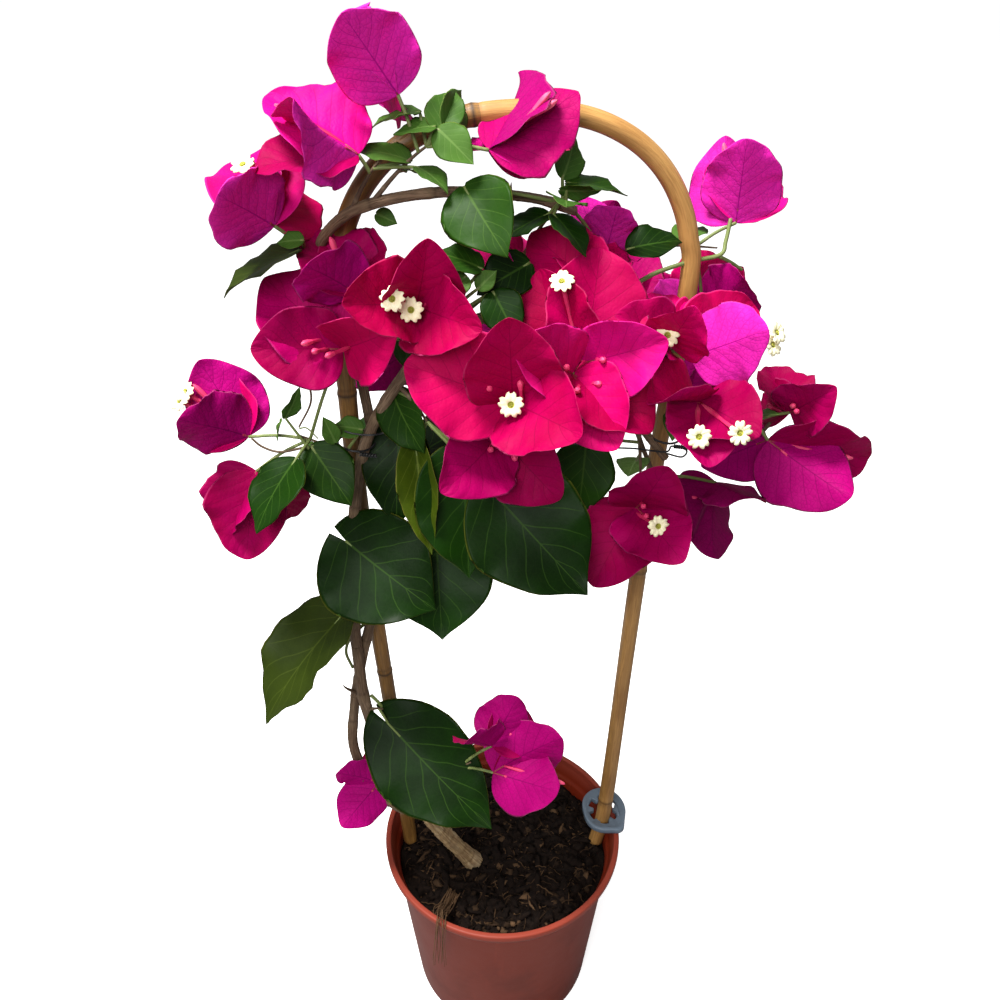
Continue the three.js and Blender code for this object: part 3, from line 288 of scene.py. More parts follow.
# limb and at say where a spray's stem leaves the limb, and tip is where the stem ends.
# blooms: x, y, z of the three bracts' base, then each bract's bearing, rise, length, turn from facing the
# front, and fold where it is folded more or less than others.
# heads: three bracts by rule, from x, y, z, bearing, rise, bract length, opening and roll.
# leaves: x, y, z of the leaf's foot, bearing and rise of its tip, length, turn of its face about the
# midrib, and for some how broad it is against others, and its fold.
# more: number of seeded leaves along the stem, and their length.
SPRAYS = {
    "spray_top": {
        "limb": "stem_b_arch", "at": 0.42, "tip": (-28, -10, 624), "seed": 11, "more": (2, 17),
        "blooms": [
            [(-46, -5, 640), (-145, 55, 43, 162, 12), (115, 20, 58, 95, 12), (120, 20, 51, 265)],
            [(-7, -8, 618), (25, 20, 48, 160, 12), (60, 25, 55, 80, 44), (50, 10, 43, 150, 20)],
        ],
        "heads": [],
        "leaves": [(-28, -10, 626, 65, 50, 23, 0), (-29, -10, 627, -35, -30, 22, 0),
            (-30, -10, 628, -175, 0, 19, 42), (-26, -8, 627, 60, 35, 24, 50),
            (-37, -4, 633, -180, -5, 23, 55)],
    },
    "spray_high_left": {
        "limb": "stem_b_arch", "at": 0.36, "tip": (-55, -14, 615), "seed": 12, "more": (0, 20),
        "blooms": [
            [(-64, -14, 617), (165, 35, 49, 28), (-165, 5, 46, 40, 8), (-130, 30, 46, 215, 40)],
        ],
        "heads": [],
        "leaves": [(-42, -8, 613, 175, 20, 25, 45), (-39, -10, 611, -35, -15, 20, -50)],
    },
    "spray_left": {
        "limb": "stem_b_arch", "at": 0.02, "tip": (-98, -6, 575), "seed": 13, "more": (0, 20),
        "blooms": [
            [(-106, -10, 585), (-120, 35, 43, 155, 8), (120, 35, 52, 10, 24), (85, 25, 46, 70, 30)],
            [(-69, -20, 556), (135, 40, 43, 20, 20), (-130, 40, 40, 150), (105, 40, 40, 0, 24)],
        ],
        "heads": [],
        "leaves": [(-96, -12, 574, -165, -15, 42, 55), (-93, -12, 579, 180, 0, 13, 20)],
    },
    "spray_left_middle": {
        "limb": "stem_a_upper", "at": 0.58, "tip": (-107, -14, 478), "seed": 14, "more": (2, 13),
        "blooms": [
            [(-77, -26, 531), (160, 40, 51, 10), (-155, 10, 43, -10), (-50, 25, 43, 40, 30)],
            [(-133, -14, 477), (145, 50, 46, 190), (-145, 35, 42, 160, 20), (140, 20, 46, 0, 20)],
            [(-131, -17, 458), (-105, -55, 48, 0, 20), (30, -70, 43, 0, 20), (-155, -50, 43, 25, 30)],
        ],
        "heads": [],
        "leaves": [(-101, -14, 471, -45, -35, 38, -10), (-107, -26, 470, -125, -30, 43, 35),
            (-74, -10, 479, 175, 10, 17, 20)],
    },
    "spray_left_leaves": {
        "limb": "stem_a_upper", "at": 0.34, "tip": (-82, -18, 412), "seed": 15, "more": (0, 20),
        "blooms": [],
        "heads": [],
        "leaves": [(-88, -16, 412, -35, -20, 64, 0, 1.32, 12), (-38, -8, 411, -85, -50, 60, 0, 1.35)],
    },
    "spray_inner_leaves": {
        "limb": "stem_a_upper", "at": 0.86, "tip": (-36, -24, 486), "seed": 16, "more": (0, 20),
        "blooms": [],
        "heads": [],
        "leaves": [(-46, -16, 475, -80, -50, 60, 10, 0.62, 45), (-57, -10, 502, -60, -45, 37, 30),
            (-21, -24, 473, -85, -60, 67, 0), (-7, -34, 457, -40, -30, 74, 0, 1.1),
            (-56, 5, 475, -95, -55, 58, 0, 0.8)],
    },
    "spray_low_left_leaf": {
        "limb": "stem_a_upper", "at": 0.13, "tip": (-92, -16, 357), "seed": 17, "more": (0, 20),
        "blooms": [],
        "heads": [],
        "leaves": [(-93, -14, 360, -140, -30, 81, 42, 0.88, 20)],
    },
    "spray_low_leaf": {
        "limb": "stem_a_lower", "at": 0.6, "tip": (-76, -18, 284), "seed": 18, "more": (0, 20),
        "blooms": [],
        "heads": [],
        "leaves": [(-73, -20, 273, -40, -25, 92, 0, 0.9)],
    },
    "spray_low_flower": {
        "limb": "stem_b_lower", "at": 0.62, "tip": (-92, -26, 226), "seed": 19, "more": (0, 20),
        "blooms": [
            [(-82, -24, 222), (-140, -30, 36, 180), (-170, 40, 34, 160), (90, -5, 34, 0)],
        ],
        "heads": [],
        "leaves": [],
    },
    "spray_foot": {
        "limb": "stem_a_lower", "at": 0.08, "tip": (-20, -42, 262), "seed": 20, "more": (0, 20),
        "blooms": [
            [(-6, -50, 262), (15, 30, 51, 190, 12), (-25, 5, 46, 160), (35, -20, 46, 0)],
            [(-7, -44, 279), (45, 50, 36, 180), (-140, 50, 36, 150, 20), (40, 10, 36, 0)],
        ],
        "heads": [],
        "leaves": [],
    },
    "spray_centre_left": {
        "limb": "bough_heart", "at": 0.14, "tip": (-26, -30, 560), "seed": 21, "more": (1, 18),
        "blooms": [
            [(-40, -36, 556), (-125, 20, 43, 0, 20), (-70, 50, 43, 40, 26), (-55, 5, 43, 20, 20)],
        ],
        "heads": [],
        "leaves": [(12, -14, 569, -145, -15, 30, 0), (-5, -28, 560, -55, -40, 25, 0, 1.05),
            (-10, -26, 570, 175, 25, 24, 35), (-17, -30, 568, -140, -20, 12, 0, 1.3),
            (-12, -30, 562, 5, 45, 12, 0), (-54, -4, 527, -15, -10, 33, 0)],
    },
    "spray_centre": {
        "limb": "bough_heart", "at": 0.3, "tip": (4, -48, 512), "seed": 22, "more": (2, 24),
        "blooms": [
            [(4, -60, 519), (-95, 65, 48, 0, 12), (-175, 25, 52, 0, 10), (-60, 10, 48, 0)],
            [(-2, -48, 496), (-40, -35, 43, 20, 20), (-120, -10, 44, -20), (75, -50, 44, 20)],
        ],
        "heads": [],
        "leaves": [],
    },
    "spray_centre_right": {
        "limb": "bough_heart", "at": 0.42, "tip": (34, -36, 532), "seed": 23, "more": (2, 24),
        "blooms": [
            [(37, -40, 530), (155, 55, 48, -30, 22), (65, 65, 55, 10), (-35, 25, 43, 20, 24)],
            [(42, -14, 557), (150, 35, 41, 0), (90, 25, 43, 10), (60, 0, 42, 0)],
            [(32, -44, 526), (-65, -25, 43, 10), (-35, -15, 46, -20, 20), (-130, 35, 43, 0, 20)],
        ],
        "heads": [],
        "leaves": [],
    },
    "spray_arch_end": {
        "limb": "stem_b_arch", "at": 0.94, "tip": (30, 2, 593), "seed": 24, "more": (2, 24),
        "blooms": [
            [(51, 20, 561), (-70, 70, 33, 180), (110, 35, 36, 160, 20), (65, 10, 35, 0, 20)],
            [(8, 14, 561), (150, 10, 34, 0), (-110, 15, 34, 180), (70, 5, 34, 0)],
        ],
        "heads": [],
        "leaves": [(-18, -12, 603, -60, -30, 40, 12, 1.1), (29, 0, 602, -5, 0, 29, -55),
            (27, 2, 604, 55, 50, 22, 30), (23, -6, 589, -45, -25, 26, -45),
            (21, -4, 589, -165, -15, 25, 45)],
    },
    "spray_right_high": {
        "limb": "bough_back_right", "at": 0.55, "tip": (112, 40, 560), "seed": 25, "more": (1, 20),
        "blooms": [
            [(120, 40, 573), (-110, 85, 44, 165, 14), (95, 40, 48, 175, 20), (75, 25, 51, 0, 20)],
            [(109, 38, 522), (-155, 20, 43, 180), (-50, 50, 43, 170), (85, 45, 45, 0)],
        ],
        "heads": [],
        "leaves": [(60, 4, 570, 5, 15, 28, -30)],
    },
    "spray_right": {
        "limb": "bough_heart", "at": 0.66, "tip": (78, -24, 530), "seed": 26, "more": (1, 22),
        "blooms": [
            [(90, -26, 527), (-30, 30, 43, 180, 12), (30, 25, 47, 0), (60, 20, 44, 0)],
            [(78, -28, 534), (-145, 40, 36, 30, 30), (85, 30, 37, 0), (-85, 40, 36, 0)],
        ],
        "heads": [],
        "leaves": [],
    },
    "spray_right_middle": {
        "limb": "bough_heart", "at": 0.84, "tip": (94, -28, 506), "seed": 27, "more": (1, 22),
        "blooms": [
            [(94, -34, 507), (-90, -10, 42, 0), (-65, 10, 42, -10, 14), (-135, 25, 42, 60, 50)],
        ],
        "heads": [],
        "leaves": [],
    },
    "spray_far_right": {
        "limb": "bough_heart", "at": 0.98, "tip": (136, -9, 482), "seed": 28, "more": (1, 22),
        "blooms": [
            [(150, -6, 487), (95, 25, 36, 10, 24), (-75, 40, 36, 0, 24), (110, -20, 36, 0, 20)],
            [(139, -12, 474), (-35, -25, 52, 180, 22), (-5, -15, 60, 40, 26), (125, -40, 48, 180, 20)],
        ],
        "heads": [],
        "leaves": [],
    },
    "spray_right_low": {
        "limb": "bough_cut_stub", "at": 0.7, "tip": (74, -16, 446), "seed": 29, "more": (2, 30),
        "blooms": [
            [(72, -20, 437), (-130, -35, 49, 20), (-70, 0, 46, 0, 12), (-75, 50, 46, 10)],
            [(120, 6, 437), (-105, -50, 45, 150, 14), (-75, 10, 42, 150, 14), (-125, -15, 42, 150, 30)],
        ],
        "heads": [],
        "leaves": [(44, -8, 472, -100, -60, 44, 0)],
    },
    "spray_back_high": {
        "limb": "bough_back_right", "at": 0.75, "tip": (58, 62, 530), "seed": 31, "more": (4, 34),
        "blooms": [],
        "heads": [(48, 66, 534, 100, 10, 44, 50, 20), (74, 58, 520, 60, 0, 42, 40, 90)],
        "leaves": [],
    },
    "spray_back_right": {
        "limb": "bough_back_right", "at": 0.98, "tip": (74, 62, 495), "seed": 32, "more": (4, 38),
        "blooms": [],
        "heads": [(70, 68, 500, 70, 0, 46, 50, 60), (84, 58, 480, 30, -10, 44, 40, 0)],
        "leaves": [],
    },
    "spray_back_middle": {
        "limb": "bough_back_left", "at": 0.98, "tip": (14, 60, 500), "seed": 33, "more": (5, 38),
        "blooms": [],
        "heads": [(18, 66, 503, 85, 15, 48, 52, 0), (22, 56, 478, 100, -20, 44, 42, 200)],
        "leaves": [],
    },
    "spray_back_left": {
        "limb": "bough_back_left", "at": 0.5, "tip": (-44, 56, 508), "seed": 34, "more": (4, 36),
        "blooms": [],
        "heads": [(-50, 60, 496, 115, -15, 46, 50, 120)],
        "leaves": [],
    },
    "spray_back_low": {
        "limb": "stem_b_middle", "at": 0.6, "tip": (-52, 34, 440), "seed": 35, "more": (5, 48),
        "blooms": [],
        "heads": [],
        "leaves": [],
    },
}


def outline(kind, share):
    """How wide a blade is at a share of its length, as a share of its greatest half width."""
    return np.sin(np.pi * share ** kind["fullness"]) ** kind["round"] * (1 - kind["point"] * share ** 6)


def blade_points(blade, share, across, wide=1.0, blunt=0.0):
    """Points of a blade, and the way its inner face looks there. blunt rounds the trough of its midrib."""
    kind, tip, face, length = blade["kind"], blade["tip"], blade["face"], blade["length"]
    share, across = np.broadcast_arrays(np.asarray(share, float), np.asarray(across, float))
    turn = kind["bend"] * share
    half = 0.5 * kind["width"] * length * outline(kind, share) * across * wide
    fold = math.radians(kind["fold"] if blade["fold"] is None else blade["fold"])
    normal = face * np.cos(turn)[..., None] + tip * np.sin(turn)[..., None]
    raised = np.sqrt(half * half + blunt * blunt) - blunt
    points = blade["base"] + tip * (length * np.sin(turn) / kind["bend"])[..., None]
    points = points - face * (length * (1 - np.cos(turn)) / kind["bend"])[..., None]
    points = points + np.cross(tip, face) * (half * math.cos(fold))[..., None]
    return points + normal * (raised * math.sin(fold))[..., None], normal, half


def feelers(blade):
    """The points by which a blade is kept off its neighbours."""
    shares = [1] + [s for s in (0.25, 0.5, 0.75) for _ in range(5)]
    return blade_points(blade, shares, [0] + [-0.9, -0.45, 0, 0.45, 0.9] * 3)[0]


def hoop_line():
    """Two nearly upright legs under a slightly squared arch, in a plane turned about Z."""
    mx, my = HOOP["middle"]

    def y_at(x):
        return my + (x - mx) * math.tan(math.radians(HOOP["yaw"]))

    left, right = mx - HOOP["half"], mx + HOOP["half"]
    points = [(*HOOP["left"], SOIL_TOP - 1), (HOOP["left"][0] - 5.5, 7, 250), (left + 2, y_at(left), 360),
              (left - 1, y_at(left), 465)]
    for angle in range(180, -1, -15):
        c, s = math.cos(math.radians(angle)), max(0, math.sin(math.radians(angle)))
        x = mx + HOOP["half"] * math.copysign(abs(c) ** (2 / HOOP["squareness"]), c)
        points.append((x, y_at(x), HOOP["spring"] + HOOP["rise"] * s ** (2 / HOOP["squareness"])))
    points += [(right - 8, 25, 435), (right - 12, 22, 360), (right - 19, 12, 203), (right - 22.5, 8, 148),
               (*HOOP["right"], SOIL_TOP - 1)]
    return smooth_line(points)


HOOP_LINE = hoop_line()
for limb in LIMBS.values():
    limb["line"] = smooth_line(limb["through"])


def limb_radius(name, share):
    start, end = LIMBS[name]["radius"]
    flare = 2 * max(0, 1 - share / 0.3) ** 2 if name == "trunk" else 0
    return start + (end - start) * share + flare


# Spots along the limbs and the hoop, and how far a seeded leaf keeps from each.
LIMB_SPOTS = [(name, i / 24) for name in LIMBS for i in range(25)]
HOOP_SPOTS = [i / 160 for i in range(161)]
WOOD_AT = np.array([LIMBS[name]["line"].at(share) for name, share in LIMB_SPOTS]
                   + [HOOP_LINE.at(share) for share in HOOP_SPOTS])
WOOD_KEEP = np.array([limb_radius(name, share) + WOOD_GAP for name, share in LIMB_SPOTS]
                     + [CANE_RADIUS + WOOD_GAP] * len(HOOP_SPOTS))


def new_blade(kind, root, base, tip, face, length, fold=None):
    return {"kind": kind, "root": root, "base": base, "tip": tip, "face": face, "length": length,
            "fold": fold}


def placed_bracts(bloom, root):
    """The three bracts of a bloom, each placed by itself."""
    base, *rows = bloom
    out = []
    for bearing, rise, length, turn, *fold in rows:
        tip = heading(bearing, rise)
        face = turned(square_to(tip, FRONT), tip, turn)
        out.append(new_blade(BRACT, root, vec(*base), tip, face, length, *fold))
    return out


def head_bracts(head, root, random):
    """Three bracts by rule: each leans out from the head's axis and turns its inner face to it."""
    x, y, z, bearing, rise, size, spread, roll = head
    axis = heading(bearing, rise)
    up = square_to(axis, UP)
    side = np.cross(axis, up)
    out = []
    for i in range(3):
        around = math.radians(roll + 120 * i + 24 * (random() - 0.5))
        lean = math.radians(spread + 14 * (random() - 0.5))
        outward = up * math.cos(around) + side * math.sin(around)
        tip = axis * math.cos(lean) + outward * math.sin(lean)
        face = axis * math.sin(lean) - outward * math.cos(lean)
        length = size * (0.93 + 0.14 * random())
        out.append(new_blade(BRACT, root, vec(x, y, z), tip, face, length))
    return out


def leaf_blade(root, base, tip, length, turn, towards=UP, broad=1.0, fold=None):
    """A leaf's face looks the given way, up for a seeded leaf, then turns about the midrib."""
    face = turned(square_to(tip, towards), tip, turn)
    kind = {**LEAF, "width": LEAF["width"] * broad}
    return new_blade(kind, root, base, tip, face, length, fold)


def framework(spray):
    """A spray's stem, a stalk and three bracts for each bloom, and its named leaves."""
    random = seeded(spray["seed"])
    root = LIMBS[spray["limb"]]["line"].at(spray["at"])
    stem = bowed(root, vec(*spray["tip"]), STEM["bow"])
    plan = {"stem": stem, "twigs": [(stem, STEM["foot"], STEM["tip"])], "blooms": [], "leaves": []}

    def reach(base):
        """Where growth towards base leaves the stem: a little before the stem's nearest spot."""
        nearest = share = BARE
        while share <= 1:
            if np.linalg.norm(stem.at(share) - base) < np.linalg.norm(stem.at(nearest) - base):
                nearest = share
            share += 0.05
        return stem.at(max(BARE, nearest - 0.12))

    def stalk_to(base):
        """Adds a stalk to a bloom, and gives the spot in it where the bracts join."""
        stalk = bowed(reach(base), base, STALK["bow"], 2)
        plan["twigs"].append((stalk, STALK["radius"], STALK["radius"]))
        return stalk.at(1 - STALK["sunk"] / stalk.length)

    for bloom in spray["blooms"]:
        plan["blooms"].append(placed_bracts(bloom, stalk_to(vec(*bloom[0]))))
    for head in spray["heads"]:
        plan["blooms"].append(head_bracts(head, stalk_to(vec(*head[:3])), random))
    for x, y, z, bearing, rise, length, turn, *more in spray["leaves"]:
        base, tip = vec(x, y, z), heading(bearing, rise)
        plan["leaves"].append(leaf_blade(reach(base), base, tip, length, turn, FRONT, *more))
    return plan


def add_seeded_leaves(spray, plan, taken):
    """Seeded leaves turn round the stem by the golden angle. One that would crowd a neighbour is skipped."""
    random = seeded(spray["seed"] + 500)
    count, size = spray["more"]
    stem = plan["stem"]
    for i in range(count):
        share = BARE + (0.65 * (i + 0.3 + 0.4 * random())) / count
        origin = stem.at(share)
        forward = unit(stem.at(share + 0.05) - origin)
        length = size * (0.75 + 0.5 * random())
        for attempt in range(6):
            around = math.radians(GOLDEN_ANGLE * i + 55 * attempt + 40 * random())
            up = square_to(forward, UP)
            outward = up * math.cos(around) + np.cross(forward, up) * math.sin(around)
            tip = unit(outward * 0.85 + forward * 0.4 - UP * 0.25)
            blade = leaf_blade(origin, origin + tip * 0.25 * length, tip, length, 40 * (random() - 0.5))
            spots = feelers(blade)
            crowded = any(np.min(np.linalg.norm(taken - s, axis=1)) < SPACING for s in spots)
            gaps = np.linalg.norm(WOOD_AT[:, None] - spots[None], axis=2)
            if crowded or np.any(gaps < WOOD_KEEP[:, None]):
                continue
            taken = np.concatenate([taken, spots])
            plan["leaves"].append(blade)
            break
    return taken


def grow_all():
    """Every spray's framework first, then the seeded leaves in the room that is left."""
    plans = {name: framework(spray) for name, spray in SPRAYS.items()}
    taken = [feelers(b) for p in plans.values() for b in sum(p["blooms"], []) + p["leaves"]]
    taken = np.concatenate(taken)
    for name, spray in SPRAYS.items():
        taken = add_seeded_leaves(spray, plans[name], taken)
    return plans


# ---------------------------------------------------------------- finishes


def colour(r, g, b):
    """A colour as the eye reads it (0 to 255), turned into the renderer's own linear values."""
    out = []
    for c in (r / 255, g / 255, b / 255):
        out.append(c / 12.92 if c <= 0.04045 else ((c + 0.055) / 1.055) ** 2.4)
    return (*out, 1)


class Nodes:
    """A node tree written from left to right. node() returns the node, the rest return its output."""

    def __init__(self, tree):
        self.tree = tree

    def fill(self, socket, value):
        if isinstance(value, bpy.types.NodeSocket):
            self.tree.links.new(value, socket)
        else:
            socket.default_value = value

    def node(self, kind, settings=None, **inputs):
        """i0, i1 and so on are inputs by number. Others are by name, with _ for a space."""
        made = self.tree.nodes.new(kind)
        for key, value in (settings or {}).items():
            setattr(made, key, value)
        for key, value in inputs.items():
            numbered = key[0] == "i" and key[1:].isdigit()
            self.fill(made.inputs[int(key[1:]) if numbered else key.replace("_", " ")], value)
        return made

    def maths(self, operation, a, b=0.0, c=0.0, clamp=False):
        made = self.node("ShaderNodeMath", {"operation": operation, "use_clamp": clamp}, i0=a, i1=b)
        if operation == "MULTIPLY_ADD":
            self.fill(made.inputs[2], c)
        return made.outputs[0]

    def blend(self, share, a, b):
        return self.node("ShaderNodeMix", {"data_type": "RGBA"}, i0=share, i6=a, i7=b).outputs[2]

    def band(self, value, low, high):
        """0 at low and 1 at high, with a smooth way between them."""
        settings = {"interpolation_type": "SMOOTHSTEP"}
        return self.node("ShaderNodeMapRange", settings, i0=value, i1=low, i2=high).outputs[0]

    def attribute(self, name, output):
        return self.node("ShaderNodeAttribute", {"attribute_name": name}).outputs[output]

    def split(self, vector):
        return self.node("ShaderNodeSeparateXYZ", i0=vector).outputs

    def noise(self, place, scale, detail=3.0, roughness=0.55, stretch=None):
        if stretch:
            settings = {"vector_type": "POINT"}
            place = self.node("ShaderNodeMapping", settings, Vector=place, Scale=stretch).outputs[0]
        shape = {"Scale": scale, "Detail": detail, "Roughness": roughness}
        return self.node("ShaderNodeTexNoise", Vector=place, **shape).outputs[0]


def new_group(name, inputs, outputs):
    """An empty shader group with sockets of the given names and usual values."""
    tree = bpy.data.node_groups.new(name, "ShaderNodeTree")
    kinds = {float: "NodeSocketFloat", tuple: "NodeSocketColor"}
    for key, value in inputs.items():
        made = tree.interface.new_socket(key, in_out="INPUT", socket_type=kinds[type(value)])
        made.default_value = value
    for key in outputs:
        kind = "NodeSocketColor" if key == "Colour" else "NodeSocketFloat"
        tree.interface.new_socket(key, in_out="OUTPUT", socket_type=kind)
    n = Nodes(tree)
    return tree, n, tree.nodes.new("NodeGroupInput").outputs, tree.nodes.new("NodeGroupOutput").inputs


def link_out(tree, results, sockets):
    for key, value in results.items():
        tree.links.new(value, sockets[key])


def veined_skin():
    """Midrib, side veins, fine network, mottling and thin edge of a bract or a leaf, in blade places."""
    tree, n, given, out = new_group("veined_skin", {
        "Base": (0.5, 0.0, 0.3, 1.0), "Vein": (0.3, 0.0, 0.2, 1.0), "Edge": (0.6, 0.1, 0.4, 1.0),
        "Deep": (0.3, 0.0, 0.1, 1.0), "Side Veins": 7.0, "Slant": 1.7, "Vein Strength": 0.6,
        "Net Strength": 0.3, "Net Size": 0.5, "Rib Width": 0.5, "Mottle": 0.5, "Edge Width": 0.06,
        "Quilt": 0.5}, ["Colour", "Height", "Roughness"])
    across, along, tone = n.split(n.attribute("blade", "Vector"))
    place = n.attribute("place", "Vector")
    wide = n.maths("ABSOLUTE", across)
    off_rib = n.maths("ABSOLUTE", n.split(place)[0])
    rib_width = n.maths("MULTIPLY", given["Rib Width"], n.maths("SUBTRACT", 1.15, along))
    rib = n.maths("SUBTRACT", 1.0, n.band(off_rib, n.maths("MULTIPLY", rib_width, 0.35), rib_width))
    wobble = n.maths("MULTIPLY_ADD", n.noise(place, 0.05, 1.0), 0.5, -0.25)
    rise = n.maths("MULTIPLY", n.maths("POWER", wide, 0.85), given["Slant"])
    steps = n.maths("MULTIPLY", along, given["Side Veins"])
    phase = n.maths("ADD", n.maths("SUBTRACT", steps, rise), wobble)
    nearest = n.maths("PINGPONG", phase, 0.5)
    thin = n.maths("MULTIPLY_ADD", wide, -0.035, 0.06)
    side = n.maths("SUBTRACT", 1.0, n.band(nearest, n.maths("MULTIPLY", thin, 0.3), thin))
    side = n.maths("MULTIPLY", side, n.band(wide, 1.0, 0.72))
    settings = {"feature": "DISTANCE_TO_EDGE"}
    cell = n.node("ShaderNodeTexVoronoi", settings, Vector=place, Scale=given["Net Size"]).outputs[0]
    net = n.maths("SUBTRACT", 1.0, n.band(cell, 0.0, 0.09))
    net = n.maths("MULTIPLY", net, given["Net Strength"])
    veins = n.maths("MAXIMUM", n.maths("MAXIMUM", rib, n.maths("MULTIPLY", side, 0.75)), net)
    veins = n.maths("MULTIPLY", veins, given["Vein Strength"])
    cloud = n.noise(place, 0.045, 3.0)
    shade = n.band(n.maths("MULTIPLY_ADD", tone, 0.5, cloud), 0.4, 1.0)
    shade = n.maths("MULTIPLY", shade, given["Mottle"])
    skin = n.blend(shade, given["Base"], given["Deep"])
    skin = n.blend(veins, skin, given["Vein"])
    # On bracts this paler thin edge is partly the margin's own paleness and partly a painted highlight.
    rim = n.band(wide, n.maths("SUBTRACT", 1.0, given["Edge Width"]), 1.0)
    skin = n.blend(n.maths("MULTIPLY", rim, 0.6), skin, given["Edge"])
    grain = n.noise(place, 1.6, 2.0)
    quilt = n.band(nearest, 0.0, 0.5)
    height = n.maths("MULTIPLY_ADD", quilt, given["Quilt"], n.maths("MULTIPLY", grain, 0.14))
    height = n.maths("SUBTRACT", height, n.maths("MULTIPLY", veins, 0.5))
    height = n.maths("ADD", height, n.maths("MULTIPLY", n.band(cell, 0.0, 0.35), 0.22))
    rough = n.maths("MULTIPLY_ADD", cloud, 0.2, n.maths("MULTIPLY", veins, 0.12))
    link_out(tree, {"Colour": skin, "Height": height, "Roughness": rough}, out)
    return tree


def streaked_skin():
    """Long streaks, blotches and pale rings of bark, cane and stalks, in limb places."""
    tree, n, given, out = new_group("streaked_skin", {
        "Base": (0.2, 0.1, 0.05, 1.0), "Streak": (0.1, 0.05, 0.03, 1.0), "Blotch": (0.3, 0.2, 0.1, 1.0),
        "Ring": (0.4, 0.3, 0.2, 1.0), "Streak Strength": 0.6, "Blotch Strength": 0.5, "Fineness": 1.0,
        "Blotch Size": 0.06}, ["Colour", "Height", "Roughness"])
    place = n.attribute("place", "Vector")
    ring, scar, _ = n.split(n.attribute("limb", "Vector"))
    fine = n.noise(place, given["Fineness"], 4.0, 0.6, stretch=(1, 0.09, 1))
    wide = n.noise(place, n.maths("MULTIPLY", given["Fineness"], 0.35), 2.0, 0.5, stretch=(1, 0.05, 1))
    streaks = n.maths("MULTIPLY", n.band(fine, 0.42, 0.66), given["Streak Strength"])
    broad = n.maths("MULTIPLY", n.band(wide, 0.45, 0.62), given["Streak Strength"])
    patches = n.band(n.noise(place, given["Blotch Size"], 3.0, stretch=(1, 0.5, 1)), 0.47, 0.66)
    skin = n.blend(n.maths("MULTIPLY", patches, given["Blotch Strength"]), given["Base"], given["Blotch"])
    skin = n.blend(n.maths("MAXIMUM", streaks, n.maths("MULTIPLY", broad, 0.7)), skin, given["Streak"])
    skin = n.blend(ring, skin, given["Ring"])
    skin = n.blend(scar, skin, given["Streak"])
    height = n.maths("SUBTRACT", 1.0, n.maths("MULTIPLY", fine, 0.8))
    rough = n.maths("MULTIPLY_ADD", fine, 0.25, n.maths("MULTIPLY", patches, 0.1))
    link_out(tree, {"Colour": skin, "Height": height, "Roughness": rough}, out)
    return tree


def dusty_skin():
    """Scuffs, dust and mottling of moulded plastic and of soil, in the object's own places. The tone mask
    lays on the worn colour too, which on the pot's lip is a painted highlight.
    """
    tree, n, given, out = new_group("dusty_skin", {
        "Base": (0.3, 0.1, 0.05, 1.0), "Worn": (0.5, 0.3, 0.2, 1.0), "Stain": (0.1, 0.05, 0.02, 1.0),
        "Wear": 0.4, "Staining": 0.3, "Scale": 60.0}, ["Colour", "Height", "Roughness"])
    where = n.node("ShaderNodeTexCoord").outputs["Object"]
    broad = n.noise(where, given["Scale"], 4.0, 0.6)
    fine = n.noise(where, n.maths("MULTIPLY", given["Scale"], 9.0), 3.0, 0.6)
    scuffs = n.noise(where, n.maths("MULTIPLY", given["Scale"], 4.0), 5.0, 0.7, stretch=(1, 1, 0.12))
    worn = n.maths("MULTIPLY", n.band(scuffs, 0.56, 0.72), given["Wear"])
    stained = n.maths("MULTIPLY", n.band(broad, 0.48, 0.68), given["Staining"])
    # tone is pale chips, fibres and roots on the soil, and a painted highlight on the pot's lip.
    tone = n.attribute("tone", "Fac")
    skin = n.blend(stained, given["Base"], given["Stain"])
    skin = n.blend(n.maths("MAXIMUM", worn, tone), skin, given["Worn"])
    height = n.maths("MULTIPLY_ADD", fine, 0.6, n.maths("MULTIPLY", scuffs, 0.4))
    rough = n.maths("MULTIPLY_ADD", broad, 0.2, n.maths("MULTIPLY", worn, 0.25))
    link_out(tree, {"Colour": skin, "Height": height, "Roughness": rough}, out)
    return tree


GROUPS = {"veined": veined_skin(), "streaked": streaked_skin(), "dusty": dusty_skin()}


def finish(name, group, values, rough, relief, depth, lets_light=0.0, **shine):
    """A material: a group's pattern on a Principled surface, with light let through where it is thin.

    values are the group's own, with colours as the eye reads them. rough is added to the pattern's roughness.
    relief and depth, in metres, are the strength and the height of its bumps.
    """
    material = bpy.data.materials.new(name)
    material.use_nodes = True
    tree = material.node_tree
    n = Nodes(tree)
    surface = tree.nodes["Principled BSDF"]
    pattern = tree.nodes.new("ShaderNodeGroup")
    pattern.node_tree = GROUPS[group]
    for key, value in values.items():
        pattern.inputs[key].default_value = colour(*value) if isinstance(value, tuple) else value
    tree.links.new(pattern.outputs["Colour"], surface.inputs["Base Color"])
    roughness = n.maths("ADD", pattern.outputs["Roughness"], rough, clamp=True)
    tree.links.new(roughness, surface.inputs["Roughness"])
    bump = n.node("ShaderNodeBump", Strength=relief, Distance=depth, Height=pattern.outputs["Height"])
    tree.links.new(bump.outputs[0], surface.inputs["Normal"])
    for key, value in shine.items():
        surface.inputs[key.replace("_", " ")].default_value = value
    if lets_light:
        through = n.node("ShaderNodeBsdfTranslucent", Normal=bump.outputs[0], Color=pattern.outputs["Colour"])
        mixed = n.node("ShaderNodeMixShader", i0=lets_light, i1=surface.outputs[0], i2=through.outputs[0])
        tree.links.new(mixed.outputs[0], tree.nodes["Material Output"].inputs["Surface"])
    return material
